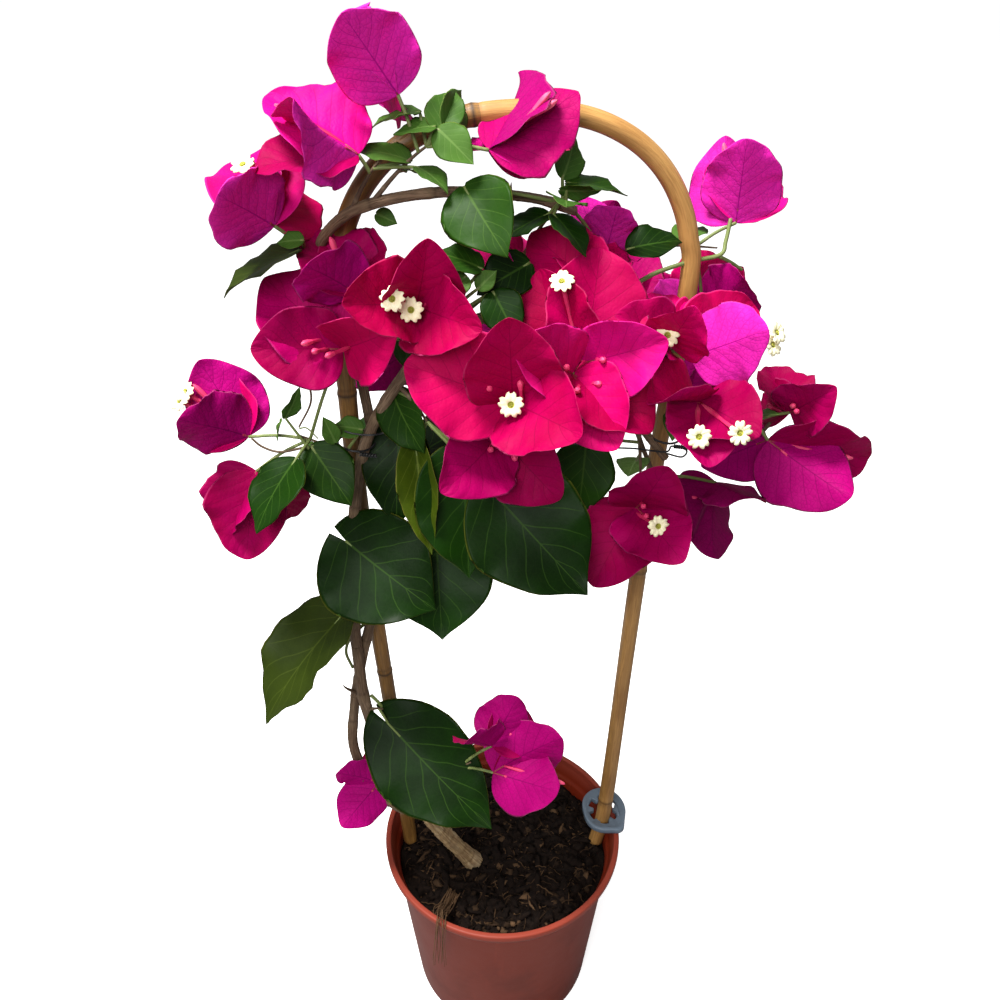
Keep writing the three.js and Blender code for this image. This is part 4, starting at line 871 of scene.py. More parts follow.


# Each tint of bloom: the bract's inner side, then its outer side. The tints are lighter and darker copies of
# one bract colour that paint light and shade: a bract's tint is chosen for how lit or shaded it is, and each
# inner side is painted darker and redder than its outer side as painted shade.
TINTS_LIT_AND_SHADED = {
    "hot": ((222, 12, 138), (236, 40, 182)),
    "rose": ((206, 2, 104), (216, 14, 140)),
    "crimson": ((178, 0, 80), (190, 2, 106)),
    "magenta": ((188, 1, 104), (200, 10, 134)),
    "purple": ((168, 0, 88), (178, 5, 114)),
    "plum": ((140, 0, 62), (150, 4, 92)),
}
# A bract's side veins, in its finish and in its quilting: how many, and how far they slant towards the tip.
BRACT_VEINS, BRACT_SLANT = 7.0, 2.2
# For each side, the share of blue that its deep tone and its veins keep, then its thin edge, painted paler
# partly for the margin's own paleness and partly as a painted highlight along it: the share of red, the
# green, and the blue that is added. Last, how strongly its veins and their network show.
BRACT_SIDES = {
    "inner": (0.55, 0.55, (1.08, 60, 30), 0.5, 0.16),
    "outer": (0.84, 0.66, (1.05, 90, 20), 0.75, 0.42),
}


def bract_finishes():
    made = []
    for tint, sides in TINTS_LIT_AND_SHADED.items():
        for (r, g, b), (side, look) in zip(sides, BRACT_SIDES.items()):
            deep_blue, vein_blue, (edge_red, edge_green, edge_blue), veins, net = look
            made.append(finish("bract_%s_%s" % (tint, side), "veined", {
                "Base": (r, g, b), "Deep": (r * 0.84, g, b * deep_blue), "Vein": (r * 0.62, 0, b * vein_blue),
                "Edge": (min(255, r * edge_red), edge_green, b + edge_blue), "Vein Strength": veins,
                "Net Strength": net, "Net Size": 0.42, "Side Veins": BRACT_VEINS, "Slant": BRACT_SLANT,
                "Rib Width": 0.55, "Mottle": 0.6, "Edge Width": 0.05, "Quilt": 0.45},
                0.42, 0.4, 0.0006, lets_light=0.3, Specular_IOR_Level=0.05))
    return made


# Each age of leaf: upper side, deep tone, veins, thin edge, under side, roughness.
LEAF_AGES = {
    "old": ((17, 45, 4), (4, 20, 0), (70, 106, 34), (104, 108, 38), (54, 84, 28), 0.32),
    "grown": ((32, 64, 11), (14, 36, 3), (88, 122, 46), (122, 124, 52), (74, 108, 46), 0.34),
    "young": ((68, 102, 38), (40, 70, 20), (118, 146, 80), (146, 146, 72), (112, 146, 76), 0.38),
    "dull": ((40, 52, 8), (22, 33, 4), (80, 94, 32), (112, 108, 48), (74, 92, 36), 0.4),
    "olive": ((68, 84, 14), (40, 56, 7), (122, 132, 50), (138, 126, 52), (98, 112, 36), 0.38),
}


def leaf_finishes():
    """For each age the shiny upper side, then the matt under side with raised, paler veins."""
    made = []
    for age, (upper, deep, vein, edge, under, rough) in LEAF_AGES.items():
        shared = {"Side Veins": 6.0, "Slant": 2.4, "Rib Width": 0.9, "Mottle": 0.7, "Edge Width": 0.035,
                  "Net Size": 0.3, "Edge": edge, "Quilt": 0.16}
        above = {"Base": upper, "Deep": deep, "Vein": vein, "Vein Strength": 0.3, "Net Strength": 0.06}
        made.append(finish("leaf_%s_upper" % age, "veined", {**shared, **above},
                           rough, 0.15, 0.0006, lets_light=0.06, Specular_IOR_Level=0.08))
        paler = tuple(c + 26 for c in under)
        below = {"Base": under, "Deep": upper, "Vein": paler, "Vein Strength": 0.7, "Net Strength": 0.3}
        made.append(finish("leaf_%s_under" % age, "veined", {**shared, **below},
                           rough + 0.25, 0.3, 0.0008, lets_light=0.08, Specular_IOR_Level=0.1))
    return made


def stalk_finish(name, base, streak, ring, rough):
    return finish(name, "streaked", {
        "Base": base, "Streak": streak, "Blotch": ring, "Ring": ring, "Streak Strength": 0.4,
        "Blotch Strength": 0.4, "Fineness": 1.3, "Blotch Size": 0.1}, rough, 0.3, 0.0004)


def cane_finish(name, base, streak, blotch, ring, blotched):
    return finish(name, "streaked", {
        "Base": base, "Streak": streak, "Blotch": blotch, "Ring": ring, "Streak Strength": 0.5,
        "Blotch Strength": blotched, "Fineness": 0.8, "Blotch Size": 0.035},
        0.3, 0.35, 0.0006, Specular_IOR_Level=0.35, Coat_Weight=0.12, Coat_Roughness=0.35)


BRACT_FINISHES = bract_finishes()
LEAF_FINISHES = leaf_finishes()
STALK_FINISHES = [stalk_finish("stalk_green", (106, 122, 62), (84, 88, 46), (146, 152, 96), 0.45),
                  stalk_finish("stalk_brown", (86, 66, 46), (58, 42, 32), (128, 110, 84), 0.6),
                  stalk_finish("stalk_red", (142, 34, 56), (92, 16, 40), (170, 80, 84), 0.45)]
FLOWER_FINISHES = [stalk_finish("flower_cream", (246, 240, 205), (226, 216, 150), (250, 246, 226), 0.5),
                   stalk_finish("flower_throat", (176, 176, 70), (140, 140, 50), (196, 190, 96), 0.5),
                   stalk_finish("flower_tube", (196, 24, 86), (150, 8, 60), (220, 90, 120), 0.42),
                   stalk_finish("flower_bud", (226, 60, 112), (186, 22, 80), (238, 150, 150), 0.4)]
BARK = finish("bark_grey_brown", "streaked", {
    "Base": (118, 95, 74), "Streak": (60, 45, 33), "Blotch": (142, 120, 98), "Ring": (116, 96, 72),
    "Streak Strength": 0.75, "Blotch Strength": 0.5, "Fineness": 1.5, "Blotch Size": 0.07},
    0.6, 0.7, 0.0012, Specular_IOR_Level=0.25)
CORK = finish("bark_cork", "streaked", {
    "Base": (190, 162, 118), "Streak": (92, 68, 44), "Blotch": (226, 206, 168), "Ring": (120, 94, 68),
    "Streak Strength": 0.8, "Blotch Strength": 0.6, "Fineness": 0.9, "Blotch Size": 0.12},
    0.7, 0.9, 0.0018, Specular_IOR_Level=0.2)
# The hoop is fire-bent: its left leg and shoulder are scorched, its top is straw yellow, its right leg tan.
CANES = [cane_finish("bamboo_scorched", (128, 92, 45), (62, 38, 16), (160, 116, 58), (44, 28, 15), 0.75),
         cane_finish("bamboo_straw", (186, 140, 80), (134, 92, 44), (152, 100, 46), (96, 64, 34), 0.6),
         cane_finish("bamboo_tan", (164, 122, 68), (100, 68, 32), (132, 90, 44), (68, 45, 24), 0.75)]
WIRE = finish("wire_black", "dusty", {
    "Base": (20, 22, 24), "Worn": (60, 62, 66), "Stain": (12, 12, 14), "Wear": 0.3}, 0.3, 0.2, 0.0002)
# Its worn colour serves both for scuffs and, on the rim's outer band, as a painted highlight.
POT_FINISH = finish("pot_plastic", "dusty", {
    "Base": (114, 36, 17), "Worn": (172, 84, 70), "Stain": (92, 32, 20), "Wear": 0.14, "Staining": 0.5,
    "Scale": 22.0}, 0.34, 0.25, 0.0004, Specular_IOR_Level=0.16)
SOIL = finish("potting_soil", "dusty", {
    "Base": (30, 21, 16), "Worn": (120, 92, 66), "Stain": (9, 6, 5), "Wear": 0.12, "Staining": 0.8,
    "Scale": 300.0}, 0.8, 1.0, 0.0015, Specular_IOR_Level=0.12)
CLIP_FINISH = finish("clip_plastic", "dusty", {
    "Base": (96, 110, 124), "Worn": (140, 152, 164), "Stain": (74, 86, 100), "Wear": 0.25, "Staining": 0.3,
    "Scale": 60.0}, 0.35, 0.2, 0.0003)


# ---------------------------------------------------------------- gathering points and faces into pieces


# How far apart in the finishes' pattern two limbs and two blades lie.
PATTERN_SHIFT, BLADE_SHIFT = 31.0, 17.0


class Heap:
    """Points and faces gathered up into one piece, with the places and masks that its finishes read."""

    def __init__(self):
        self.points, self.faces, self.slots, self.count = [], [], [], 0
        self.masks = {"place": [], "blade": [], "limb": [], "tone": []}

    def add(self, points, faces, slots, place=None, blade=None, limb=None, tone=0.0):
        """Adds points, faces and their finishes, with what the finishes read at each point.

        place is where it lies in their pattern, in millimetres, blade its shares across and along a blade and
        the blade's tone, limb how much it is in a ring and a scar, and tone how worn or pale it is, which on
        the pot's lip is a painted highlight.
        """
        points = np.asarray(points, float)
        many = len(points)
        self.points.append(points * MM)
        self.faces.extend([tuple(i + self.count for i in face) for face in faces])
        self.slots.extend([slots] * len(faces) if isinstance(slots, int) else slots)
        self.masks["place"].append(points if place is None else place)
        self.masks["blade"].append(np.zeros((many, 3)) if blade is None else blade)
        self.masks["limb"].append(np.zeros((many, 3)) if limb is None else limb)
        self.masks["tone"].append(np.full(many, tone) if np.isscalar(tone) else tone)
        self.count += many

    def build(self, name, materials, slot, nodes):
        """The piece itself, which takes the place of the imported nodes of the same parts."""
        mesh = bpy.data.meshes.new(name)
        mesh.from_pydata(np.concatenate(self.points).tolist(), [], self.faces)
        for material in materials:
            mesh.materials.append(material)
        mesh.polygons.foreach_set("material_index", self.slots)
        mesh.polygons.foreach_set("use_smooth", [True] * len(self.faces))
        for key, parts in self.masks.items():
            values = np.concatenate(parts)
            kind = "FLOAT" if key == "tone" else "FLOAT_VECTOR"
            mask = mesh.attributes.new(key, kind, "POINT")
            mask.data.foreach_set("value" if key == "tone" else "vector", values.ravel())
        mesh.update()
        piece = bpy.data.objects.new(name, mesh)
        bpy.context.scene.collection.objects.link(piece)
        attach(piece, "root")
        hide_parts(*nodes)


def ring_faces(rings, corners, closed=False):
    """Quads between rings of equal corners, counter-clockwise from outside when rings go forward."""
    faces = []
    for i in range(rings if closed else rings - 1):
        a, b = i * corners, ((i + 1) % rings) * corners
        for j in range(corners):
            k = (j + 1) % corners
            faces.append((a + j, a + k, b + k, b + j))
    return faces


def capped(rings, corners):
    """Ring faces with a point closing each end: the last two points."""
    faces = ring_faces(rings, corners)
    first, last, end = rings * corners, rings * corners + 1, (rings - 1) * corners
    for j in range(corners):
        k = (j + 1) % corners
        faces.append((first, k, j))
        faces.append((last, end + j, end + k))
    return faces


def frames_along(points, closed=False):
    """For each point of a line two directions square to it, carried along without turning about it."""
    points = np.asarray(points, float)
    if closed:
        forward = np.roll(points, -1, 0) - np.roll(points, 1, 0)
    else:
        forward = np.gradient(points, axis=0)
    forward /= np.linalg.norm(forward, axis=1)[:, None]
    start = vec(forward[0][1], -forward[0][0], 0)
    side = unit(start) if np.dot(start, start) > 1e-6 else vec(1, 0, 0)
    sides = []
    for f in forward:
        side = unit(side - f * np.dot(side, f))
        sides.append(side)
    sides = np.array(sides)
    return sides, np.cross(forward, sides)


def around_circle(sides):
    return np.linspace(0, 2 * np.pi, sides, endpoint=False)


def add_tube(heap, points, radii, sides, slots, limb=None, closed=False, number=0, relief=None,
             ends=(0.6, 0.6), tone=0.0):
    """A round tube along a line, with blunt ends that stand out by shares of its radii.

    relief(angle, reach) in millimetres is added to its radius. number shifts its pattern.
    """
    points = np.asarray(points, float)
    radii = np.broadcast_to(np.asarray(radii, float), (len(points),)).copy()
    side, other = frames_along(points, closed)
    reach = Line(points).reach
    angle = around_circle(sides)
    wide = np.repeat(radii[:, None], sides, 1)
    if relief is not None:
        wide = wide + relief(angle[None, :], reach[:, None])
    grid = points[:, None] + side[:, None] * (wide * np.cos(angle))[..., None]
    grid = grid + other[:, None] * (wide * np.sin(angle))[..., None]
    rings = len(points)
    girth = np.mean(radii) * np.sin(angle) * 2
    depth = np.cos(angle) * np.mean(radii) + number * PATTERN_SHIFT
    lie = np.stack(np.broadcast_arrays(girth[None, :], reach[:, None], depth[None, :]), 2).reshape(-1, 3)
    marks = np.zeros((rings * sides, 3)) if limb is None else np.repeat(limb, sides, 0).reshape(-1, 3)
    flat = grid.reshape(-1, 3)
    if closed:
        heap.add(flat, ring_faces(rings, sides, True), slots, place=lie, limb=marks, tone=tone)
        return
    start = points[0] - unit(points[1] - points[0]) * radii[0] * ends[0]
    end = points[-1] + unit(points[-1] - points[-2]) * radii[-1] * ends[1]
    flat = np.vstack([flat, start, end])
    lie = np.vstack([lie, lie[0], lie[-1]])
    marks = np.vstack([marks, marks[0], marks[-1]])
    heap.add(flat, capped(rings, sides), slots, place=lie, limb=marks, tone=tone)


# ---------------------------------------------------------------- bracts and leaves

# The mesh of a blade, and how far it departs from the growth rule as shares of its length: its margin's
# frill and curl, the quilting between its veins and the lobes at its foot. thick is in millimetres.
BRACT_SKIN = {"rows": 28, "columns": 21, "frill": 0.05, "curl": 0.04, "quilt": 0.011, "heart": 0.0,
              "thick": 0.45}
LEAF_SKIN = {"rows": 16, "columns": 11, "frill": 0.034, "curl": 0.012, "quilt": 0.004, "heart": 0.04,
             "thick": 0.5}
BIG_LEAF_SKIN = {**LEAF_SKIN, "rows": 26, "columns": 17, "heart": 0.1}
LEAFLET_SKIN = {"rows": 14, "columns": 9, "frill": 0.05, "curl": 0.06, "quilt": 0.003, "heart": 0.05,
                "thick": 0.4}
# A leaf longer than this has the finer mesh and the deeper lobes.
BIG_LEAF = 45


def blade_grid(rows, columns):
    """Shares along and across a blade, closer together at its ends and its margins."""
    along = 0.5 - 0.5 * np.cos(np.pi * (np.arange(rows) + 0.6) / (rows + 0.2))
    across = -np.cos(np.pi * np.arange(columns) / (columns - 1))
    across = 0.55 * across + 0.45 * np.linspace(-1, 1, columns)
    return np.meshgrid(along, across, indexing="ij")


def skin_lift(skin, length, half, s, c, wave, beat):
    """How far each spot of a blade stands off the growth rule's shape, in millimetres."""
    left, off_rib = c < 0, np.abs(c)
    start, rate = np.where(left, wave[0], wave[1]), np.where(left, beat[0], beat[1])
    rim = off_rib ** 2.5
    fade = np.sin(np.pi * s) ** 0.6
    lift = skin["frill"] * length * rim * fade * np.sin(2 * np.pi * rate * s + start)
    ripple = np.sin(2 * np.pi * 2.6 * rate * s + 2 * start)
    lift = lift + 0.45 * skin["frill"] * length * rim * fade * ripple
    curl = 0.6 + 0.4 * np.sin(wave[5] + 3 * s + np.where(left, 0, 1))
    lift = lift + skin["curl"] * length * off_rib ** 4 * fade * curl
    lift = lift + half * 0.14 * math.sin(wave[6]) * (s - 0.3)
    phase = BRACT_VEINS * s - BRACT_SLANT * off_rib ** 0.85
    quilt = np.abs(np.sin(np.pi * phase)) * off_rib ** 0.5 * (1 - off_rib ** 3)
    lift = lift + skin["quilt"] * length * quilt * fade
    lift = lift + 0.012 * length * fade * np.sin(3.1 * s + wave[7] + 2.5 * c) * (1 - c * c)
    return lift - np.clip(s - 0.82, 0, 1) ** 2 * length * 1.2 * math.sin(wave[5])


def add_blade(heap, blade, number, slots, skin):
    """A blade of the growth rule with its frilled, curled margin and quilted skin, closed all round."""
    rows, columns, length = skin["rows"], skin["columns"], blade["length"]
    chance = np.random.default_rng(number * 13 + 5)
    wave, beat = chance.uniform(0, 2 * np.pi, 8), chance.uniform(1.1, 2.3, 4)
    s, c = blade_grid(rows, columns)
    wide = 1 + 0.035 * np.sin(2 * np.pi * beat[2] * s + np.where(c < 0, wave[2], wave[3]))
    wide = wide + np.where(c < 0, 1, -1) * 0.04 * math.sin(wave[4])
    points, normal, half = blade_points(blade, s, c, wide, blunt=0.03 * length)
    middle = points + normal * skin_lift(skin, length, half, s, c, wave, beat)[..., None]
    lobes = skin["heart"] * length * np.abs(c) ** 1.5 * np.clip(1 - s / 0.45, 0, 1) ** 1.5
    middle = middle - blade["tip"] * lobes[..., None]
    thickness = (0.5 * skin["thick"] * (1 - c ** 6) + 0.02)[..., None]
    top, under = middle + normal * thickness, middle - normal * thickness
    ring = np.concatenate([top, under[:, columns - 2:0:-1]], axis=1)
    tone, shift = (number * 0.37) % 1, number * BLADE_SHIFT
    marks = np.stack([c, s, np.full_like(s, tone)], 2)
    place = np.stack([half, s * length, np.full_like(s, shift)], 2)
    order = list(range(columns)) + list(range(columns - 2, 0, -1))
    base, tip = middle[0, columns // 2], middle[-1, columns // 2]
    ends = np.array([blade["base"], tip + unit(tip - base) * 0.004 * length])
    flat = np.vstack([ring.reshape(-1, 3), ends])
    marks = np.vstack([marks[:, order].reshape(-1, 3), [[0, 0, tone], [0, 1, tone]]])
    place = np.vstack([place[:, order].reshape(-1, 3), [[0, 0, shift], [0, length, shift]]])
    upper, lower = slots
    around = [upper if j < columns - 1 else lower for j in range(len(order))]
    face_slots = around * (rows - 1) + [slot for slot in around for _ in range(2)]
    heap.add(flat, capped(rows, len(order)), face_slots, place=place, blade=marks)


def leaf_slots(length, age=None):
    """The finishes of a leaf's two sides. Unless its age is given, its length in millimetres tells it."""
    age = age or ("old" if length > 50 else "grown" if length > 30 else "young")
    upper = 2 * list(LEAF_AGES).index(age)
    return upper, upper + 1


# ---------------------------------------------------------------- the small flowers inside the bracts


def curve_between(a, b, way_a, bend, steps):
    """A curve from a that sets off towards way_a and ends at b."""
    middle = (a + b) / 2 + way_a * bend * np.linalg.norm(b - a)
    shares = np.linspace(0, 1, steps + 1)[:, None]
    return (1 - shares) ** 2 * a + 2 * shares * (1 - shares) * middle + shares ** 2 * b


# Slots of the flowers' finishes, which follow the stalks' own in the piece.
CREAM, THROAT, TUBE, BUD = (len(STALK_FINISHES) + i for i in range(4))
LOBES = 5
# The widths of a flower's tube and of a bud along them, in millimetres, at the given shares.
TUBE_WIDTHS = ([0, 0.25, 0.55, 1], [0.7, 1.35, 0.85, 1.15])
BUD_WIDTHS = ([0, 0.2, 0.45, 0.62, 0.82, 0.94, 1], [0.6, 1.1, 0.8, 0.95, 1.55, 1.3, 0.5])
# The star's skin from the tube out to the lobes' ends and back into the throat: share of its reach, rise in
# shares of its size, and finish.
STAR = ((0.45, 0.1, CREAM), (0.8, 0.2, CREAM), (1.0, 0.16, CREAM), (1.0, 0.24, CREAM), (0.72, 0.3, CREAM),
        (0.26, 0.2, CREAM), (0.14, 0.04, THROAT), (0.07, -0.25, THROAT))
FLOWER_SIZE = 6.0


def add_open_flower(heap, root, mouth, look, number):
    """A slim tube that opens into a frilled star of five notched lobes, in one closed skin."""
    size, sides, tube_rings = FLOWER_SIZE, 50, 10
    chance = np.random.default_rng(number * 7 + 1)
    lean = unit(mouth - root) + 0.2 * chance.normal(size=3)
    line = curve_between(root, mouth, lean, 0.05, tube_rings - 1)
    side, other = frames_along(line)
    look = unit(look)
    angle = around_circle(sides)
    swell = np.interp(np.linspace(0, 1, tube_rings), *TUBE_WIDTHS)
    ribs = (1 + 0.08 * np.cos(LOBES * angle))[:, None]
    rings, slots = [], [TUBE] * tube_rings
    for i in range(tube_rings):
        out = side[i] * np.cos(angle)[:, None] + other[i] * np.sin(angle)[:, None]
        rings.append(line[i] + out * swell[i] * ribs)
    u = square_to(look, UP)
    v = np.cross(look, u)
    if np.dot(np.cross(side[-1], other[-1]), np.cross(u, v)) < 0:
        v = -v
    turn = angle + math.atan2(np.dot(side[-1], v), np.dot(side[-1], u))
    lobe = np.abs(np.cos(0.5 * LOBES * turn)) ** 0.4
    notch = np.exp(-((np.mod(turn * LOBES / (2 * np.pi) + 0.5, 1) - 0.5) / 0.09) ** 2)
    edge = size * (0.46 + 0.56 * lobe - 0.24 * notch)
    around = u * np.cos(turn)[:, None] + v * np.sin(turn)[:, None]
    frill = np.sin(2 * LOBES * turn + number) * 0.05 + 0.03 * np.sin(3 * turn + number)
    for share, rise, slot in STAR:
        reach = edge * share if share > 0.5 else np.full(sides, size * share)
        flat = mouth + around * reach[:, None]
        rings.append(flat + look * (size * rise + size * frill * share ** 2)[:, None])
        slots.append(slot)
    face_slots = [slot for slot in slots[1:] for _ in range(sides)] + [TUBE, THROAT] * sides
    points = np.vstack([np.vstack(rings), line[0], mouth - look * size * 0.3])
    heap.add(points, capped(len(rings), sides), face_slots)
    for i in range(LOBES):
        way = turned(u, look, 72 * i + 20 + number * 31)
        start = mouth - look * size * 0.2
        bend = start + look * size * 0.3 + way * size * 0.05
        end = mouth + look * size * 0.22 + way * size * 0.09
        add_tube(heap, [start, bend, end], [0.16, 0.16, 0.3], 6, THROAT)


def add_bud(heap, root, tip, number):
    """A closed flower: a slim tube that swells to a blunt five-sided end."""
    chance = np.random.default_rng(number * 11 + 3)
    steps, sides, first_swollen = 13, 20, 8
    line = curve_between(root, tip, unit(tip - root) + 0.25 * chance.normal(size=3), 0.06, steps)
    radii = np.interp(np.linspace(0, 1, steps + 1), *BUD_WIDTHS)
    skin = [TUBE if i < first_swollen else BUD for i in range(steps) for _ in range(sides)]
    add_tube(heap, line, radii, sides, skin + [TUBE, BUD] * sides,
             relief=lambda angle, along: 0.1 * np.cos(LOBES * angle) + 0 * along)


# ---------------------------------------------------------------- bark, cane and stalks


def bump_at(along, spot, width):
    """1 at a spot and falling off smoothly to either side of it."""
    return np.exp(-((along - spot) / width) ** 2)


def knots(length, gap, chance):
    """Places of the joints along a limb, in millimetres."""
    spots, at = [], gap * chance.uniform(0.4, 0.9)
    while at < length - 4:
        spots.append(at)
        at += gap * chance.uniform(0.75, 1.25)
    return spots


def add_limb(heap, points, radii, number, sides=22, gap=34, slot=0, rough=1.0, ends=(0.3, 0.3)):
    """A woody limb: fluted, wrinkled bark with swollen joints a gap apart, each with a ring and a scar."""
    chance = np.random.default_rng(number + 900)
    reach = Line(points).reach
    spots = knots(reach[-1], gap, chance)
    waves = [(k, chance.uniform(0, 6.28), chance.uniform(-0.02, 0.02), chance.uniform(0.4, 1.0))
             for k in (2, 3, 5, 7, 9, 11)]
    last_start = waves[-1][1]
    mean = float(np.mean(radii))

    def relief(angle, along):
        out = 0 * angle * along
        for k, start, drift, size in waves:
            fluting = k * angle + start + drift * k * along + 0.4 * np.sin(along * 0.11)
            out = out + size * mean * 0.028 * np.sin(fluting)
        for spot in spots:
            out = out + mean * 0.1 * bump_at(along, spot, 1.3 * mean)
            out = out - mean * 0.04 * bump_at(along, spot + 0.9 * mean, 0.25 * mean)
        wrinkles = np.sin(along * 1.9 + 3 * np.sin(angle + last_start))
        out = out + mean * 0.03 * wrinkles * np.sin(along * 0.53 + 2 * angle)
        return rough * out

    ring, scar = np.zeros(len(points)), np.zeros(len(points))
    for spot in spots:
        ring = np.maximum(ring, 0.5 * bump_at(reach, spot, 0.7 * mean))
        scar = np.maximum(scar, 0.5 * bump_at(reach, spot + 0.95 * mean, 0.3 * mean))
    marks = np.stack([ring, scar, np.zeros(len(points))], 1)
    add_tube(heap, points, radii, sides, slot, limb=marks, number=number, relief=relief, ends=ends)


def add_thorn(heap, foot, way, length):
    """A curved thorn that tapers to a point and droops a little."""
    steps = 6
    droop = np.linspace(0, 1, steps + 1)[:, None] ** 2 * vec(0, 0, -0.12) * length
    line = curve_between(foot - way, foot + way * length, way, 0.1, steps) + droop
    add_tube(heap, line, np.linspace(0.9, 0.1, steps + 1), 8, 0)


# ---------------------------------------------------------------- woody limbs and the cane hoop

# The trunk is corky, with its joints close together, and a little slimmer than its solid. The other limbs
# have thorns.
TRUNK_BARK = {"sides": 30, "gap": 15, "rough": 1.7}
LIMB_BARK = {"sides": 22, "gap": 34, "rough": 1}
TRUNK_SLIM = 0.86
THORNS, THORN_LENGTH = 2, 4.5


def build_limbs():
    for number, (name, limb) in enumerate(LIMBS.items()):
        line, trunk = limb["line"], name == "trunk"
        steps = max(30, int(line.length / 1.3))
        shares = np.linspace(0, 1, steps + 1)
        radii = (TRUNK_SLIM if trunk else 1.0) * np.array([limb_radius(name, share) for share in shares])
        heap = Heap()
        add_limb(heap, line.evenly(steps), radii, number, ends=(0.0, 0.5),
                 **(TRUNK_BARK if trunk else LIMB_BARK))
        chance = np.random.default_rng(number + 70)
        for _ in range(0 if trunk else THORNS):
            share = chance.uniform(0.2, 0.85)
            forward = unit(line.at(share + 0.02) - line.at(share))
            way = square_to(forward, unit(chance.normal(size=3)))
            add_thorn(heap, line.at(share) + way * limb_radius(name, share) * 0.8, way, THORN_LENGTH)
        heap.build(name + "_bark", [CORK if trunk else BARK], "bark", [name])


# Shares of the hoop at which the cane has its joints, from the left foot. It is scorched until just past the
# fourth of them, then straw yellow until another share, then tan.
JOINTS = (0.045, 0.152, 0.328, 0.48, 0.785, 0.962)
STRAW_ENDS = 0.66
# How far beyond a joint's ridge its groove lies, and how far past the fourth one the scorching goes, in
# millimetres.
GROOVE, PAST_JOINT = 3.2, 3


def build_hoop():
    heap = Heap()
    length, sides = HOOP_LINE.length, 40
    steps = int(length / 1.6)
    reach = np.linspace(0, length, steps + 1)
    joints = [share * length for share in JOINTS]

    def relief(angle, along):
        out = 0.12 * np.sin(2 * angle + along * 0.01) + 0.07 * np.sin(5 * angle + along * 0.02)
        for joint in joints:
            out = out + 0.4 * bump_at(along, joint, 1.6) - 0.25 * bump_at(along, joint + GROOVE, 1.0)
        crack = np.exp(-((angle - 4.6 - 0.12 * np.sin(along * 0.05)) / 0.09) ** 2)
        return out - 0.45 * crack * np.clip(np.sin(along * 0.017 + 1.0), 0, 1)

    ring, scar = 0 * reach, 0 * reach
    for joint in joints:
        ring = np.maximum(ring, 0.9 * bump_at(reach, joint, 1.0))
        scar = np.maximum(scar, 0.35 * bump_at(reach, joint + GROOVE, 1.3))
    marks = np.stack([ring, scar, 0 * ring], 1)
    scorched_ends, straw_ends = joints[3] + PAST_JOINT, STRAW_ENDS * length
    parts = [0 if at < scorched_ends else 1 if at < straw_ends else 2 for at in reach[:-1]]
    slots = [part for part in parts for _ in range(sides)] + [0, 2] * sides
    radii = CANE_RADIUS * (1 + 0.02 * np.sin(reach * 0.03))
    add_tube(heap, HOOP_LINE.evenly(steps), radii, sides, slots, limb=marks, relief=relief,
             ends=(0.0, 0.0))
    heap.build("bamboo_hoop", CANES, "bamboo", [
        "hoop_left_leg", "hoop_arch_left", "hoop_arch_top", "hoop_arch_right", "hoop_right_leg"])


# ---------------------------------------------------------------- sprays

# Each bloom of a spray in turn: the tints of its bracts, and the small flowers that show, with the place of
# each one's mouth. Each bract's tint is chosen for how lit or shaded it is, as painted light and shade.
BLOOMS = {
    "spray_top": [("hot", []), ("crimson purple rose", [("bud", 20, -3, 641), ("bud", 23, -5, 638)])],
    "spray_high_left": [("hot purple hot", [("bud", -99, -10, 637)])],
    "spray_left": [
        ("hot hot rose", [("open", -117, -7, 611), ("bud", -113, -6, 613)]),
        ("purple magenta purple", [("bud", -80, -14, 581)]),
    ],
    "spray_left_middle": [
        ("magenta purple rose", [("bud", -94, -37, 538), ("bud", -89, -39, 535), ("bud", -83, -40, 533)]),
        ("magenta purple rose", [
            ("open", -162, -11, 501), ("open", -165, -13, 497), ("bud", -159, -8, 504)]),
        ("purple", [("bud", -126, -40, 446)]),
    ],
    "spray_low_flower": [("magenta", [])],
    "spray_foot": [("purple", [("bud", 37, -62, 266)]), ("purple", [])],
    "spray_centre_left": [
        ("crimson", [("open", -41, -49, 559), ("open", -48, -55, 566), ("bud", -30, -44, 568)]),
    ],
    "spray_centre": [
        ("crimson rose crimson", [("open", 3, -72, 524), ("bud", -7, -68, 531), ("bud", 7, -66, 533)]),
        ("purple", []),
    ],
    "spray_centre_right": [
        ("crimson crimson hot", [("open", 26, -36, 567)]),
        ("rose", []),
        ("rose crimson hot", [("bud", 33, -60, 525)]),
    ],
    "spray_arch_end": [("hot", []), ("hot", [])],
    "spray_right_high": [("hot", [("bud", 112, 55, 609)]), ("hot purple rose", [])],
    "spray_right": [
        ("hot rose rose", [("open", 132, -16, 535), ("open", 130, -19, 530)]),
        ("magenta rose rose", [("open", 75, -39, 543)]),
    ],
    "spray_right_middle": [("purple purple crimson", [("open", 89, -66, 505), ("open", 106, -70, 509)])],
    "spray_far_right": [
        ("purple", [("bud", 148, -16, 496)]),
        ("purple purple magenta", [("bud", 177, -33, 448), ("bud", 182, -21, 468)]),
    ],
    "spray_right_low": [("purple", [("open", 80, -41, 439)]), ("plum", [("bud", 103, -10, 436)])],
}
# Leaves whose age their length does not tell. Several are given an older, darker age than their own as
# painted shade.
AGES_AND_PAINTED_SHADE = {
    ("spray_left", 0): "dull", ("spray_left_middle", 1): "old", ("spray_inner_leaves", 0): "olive",
    ("spray_low_left_leaf", 0): "dull", ("spray_centre_left", 0): "old", ("spray_centre_left", 1): "old",
    ("spray_centre_left", 2): "grown", ("spray_arch_end", 1): "grown", ("spray_arch_end", 3): "old",
    ("spray_arch_end", 4): "old", ("spray_right_high", 0): "old",
}
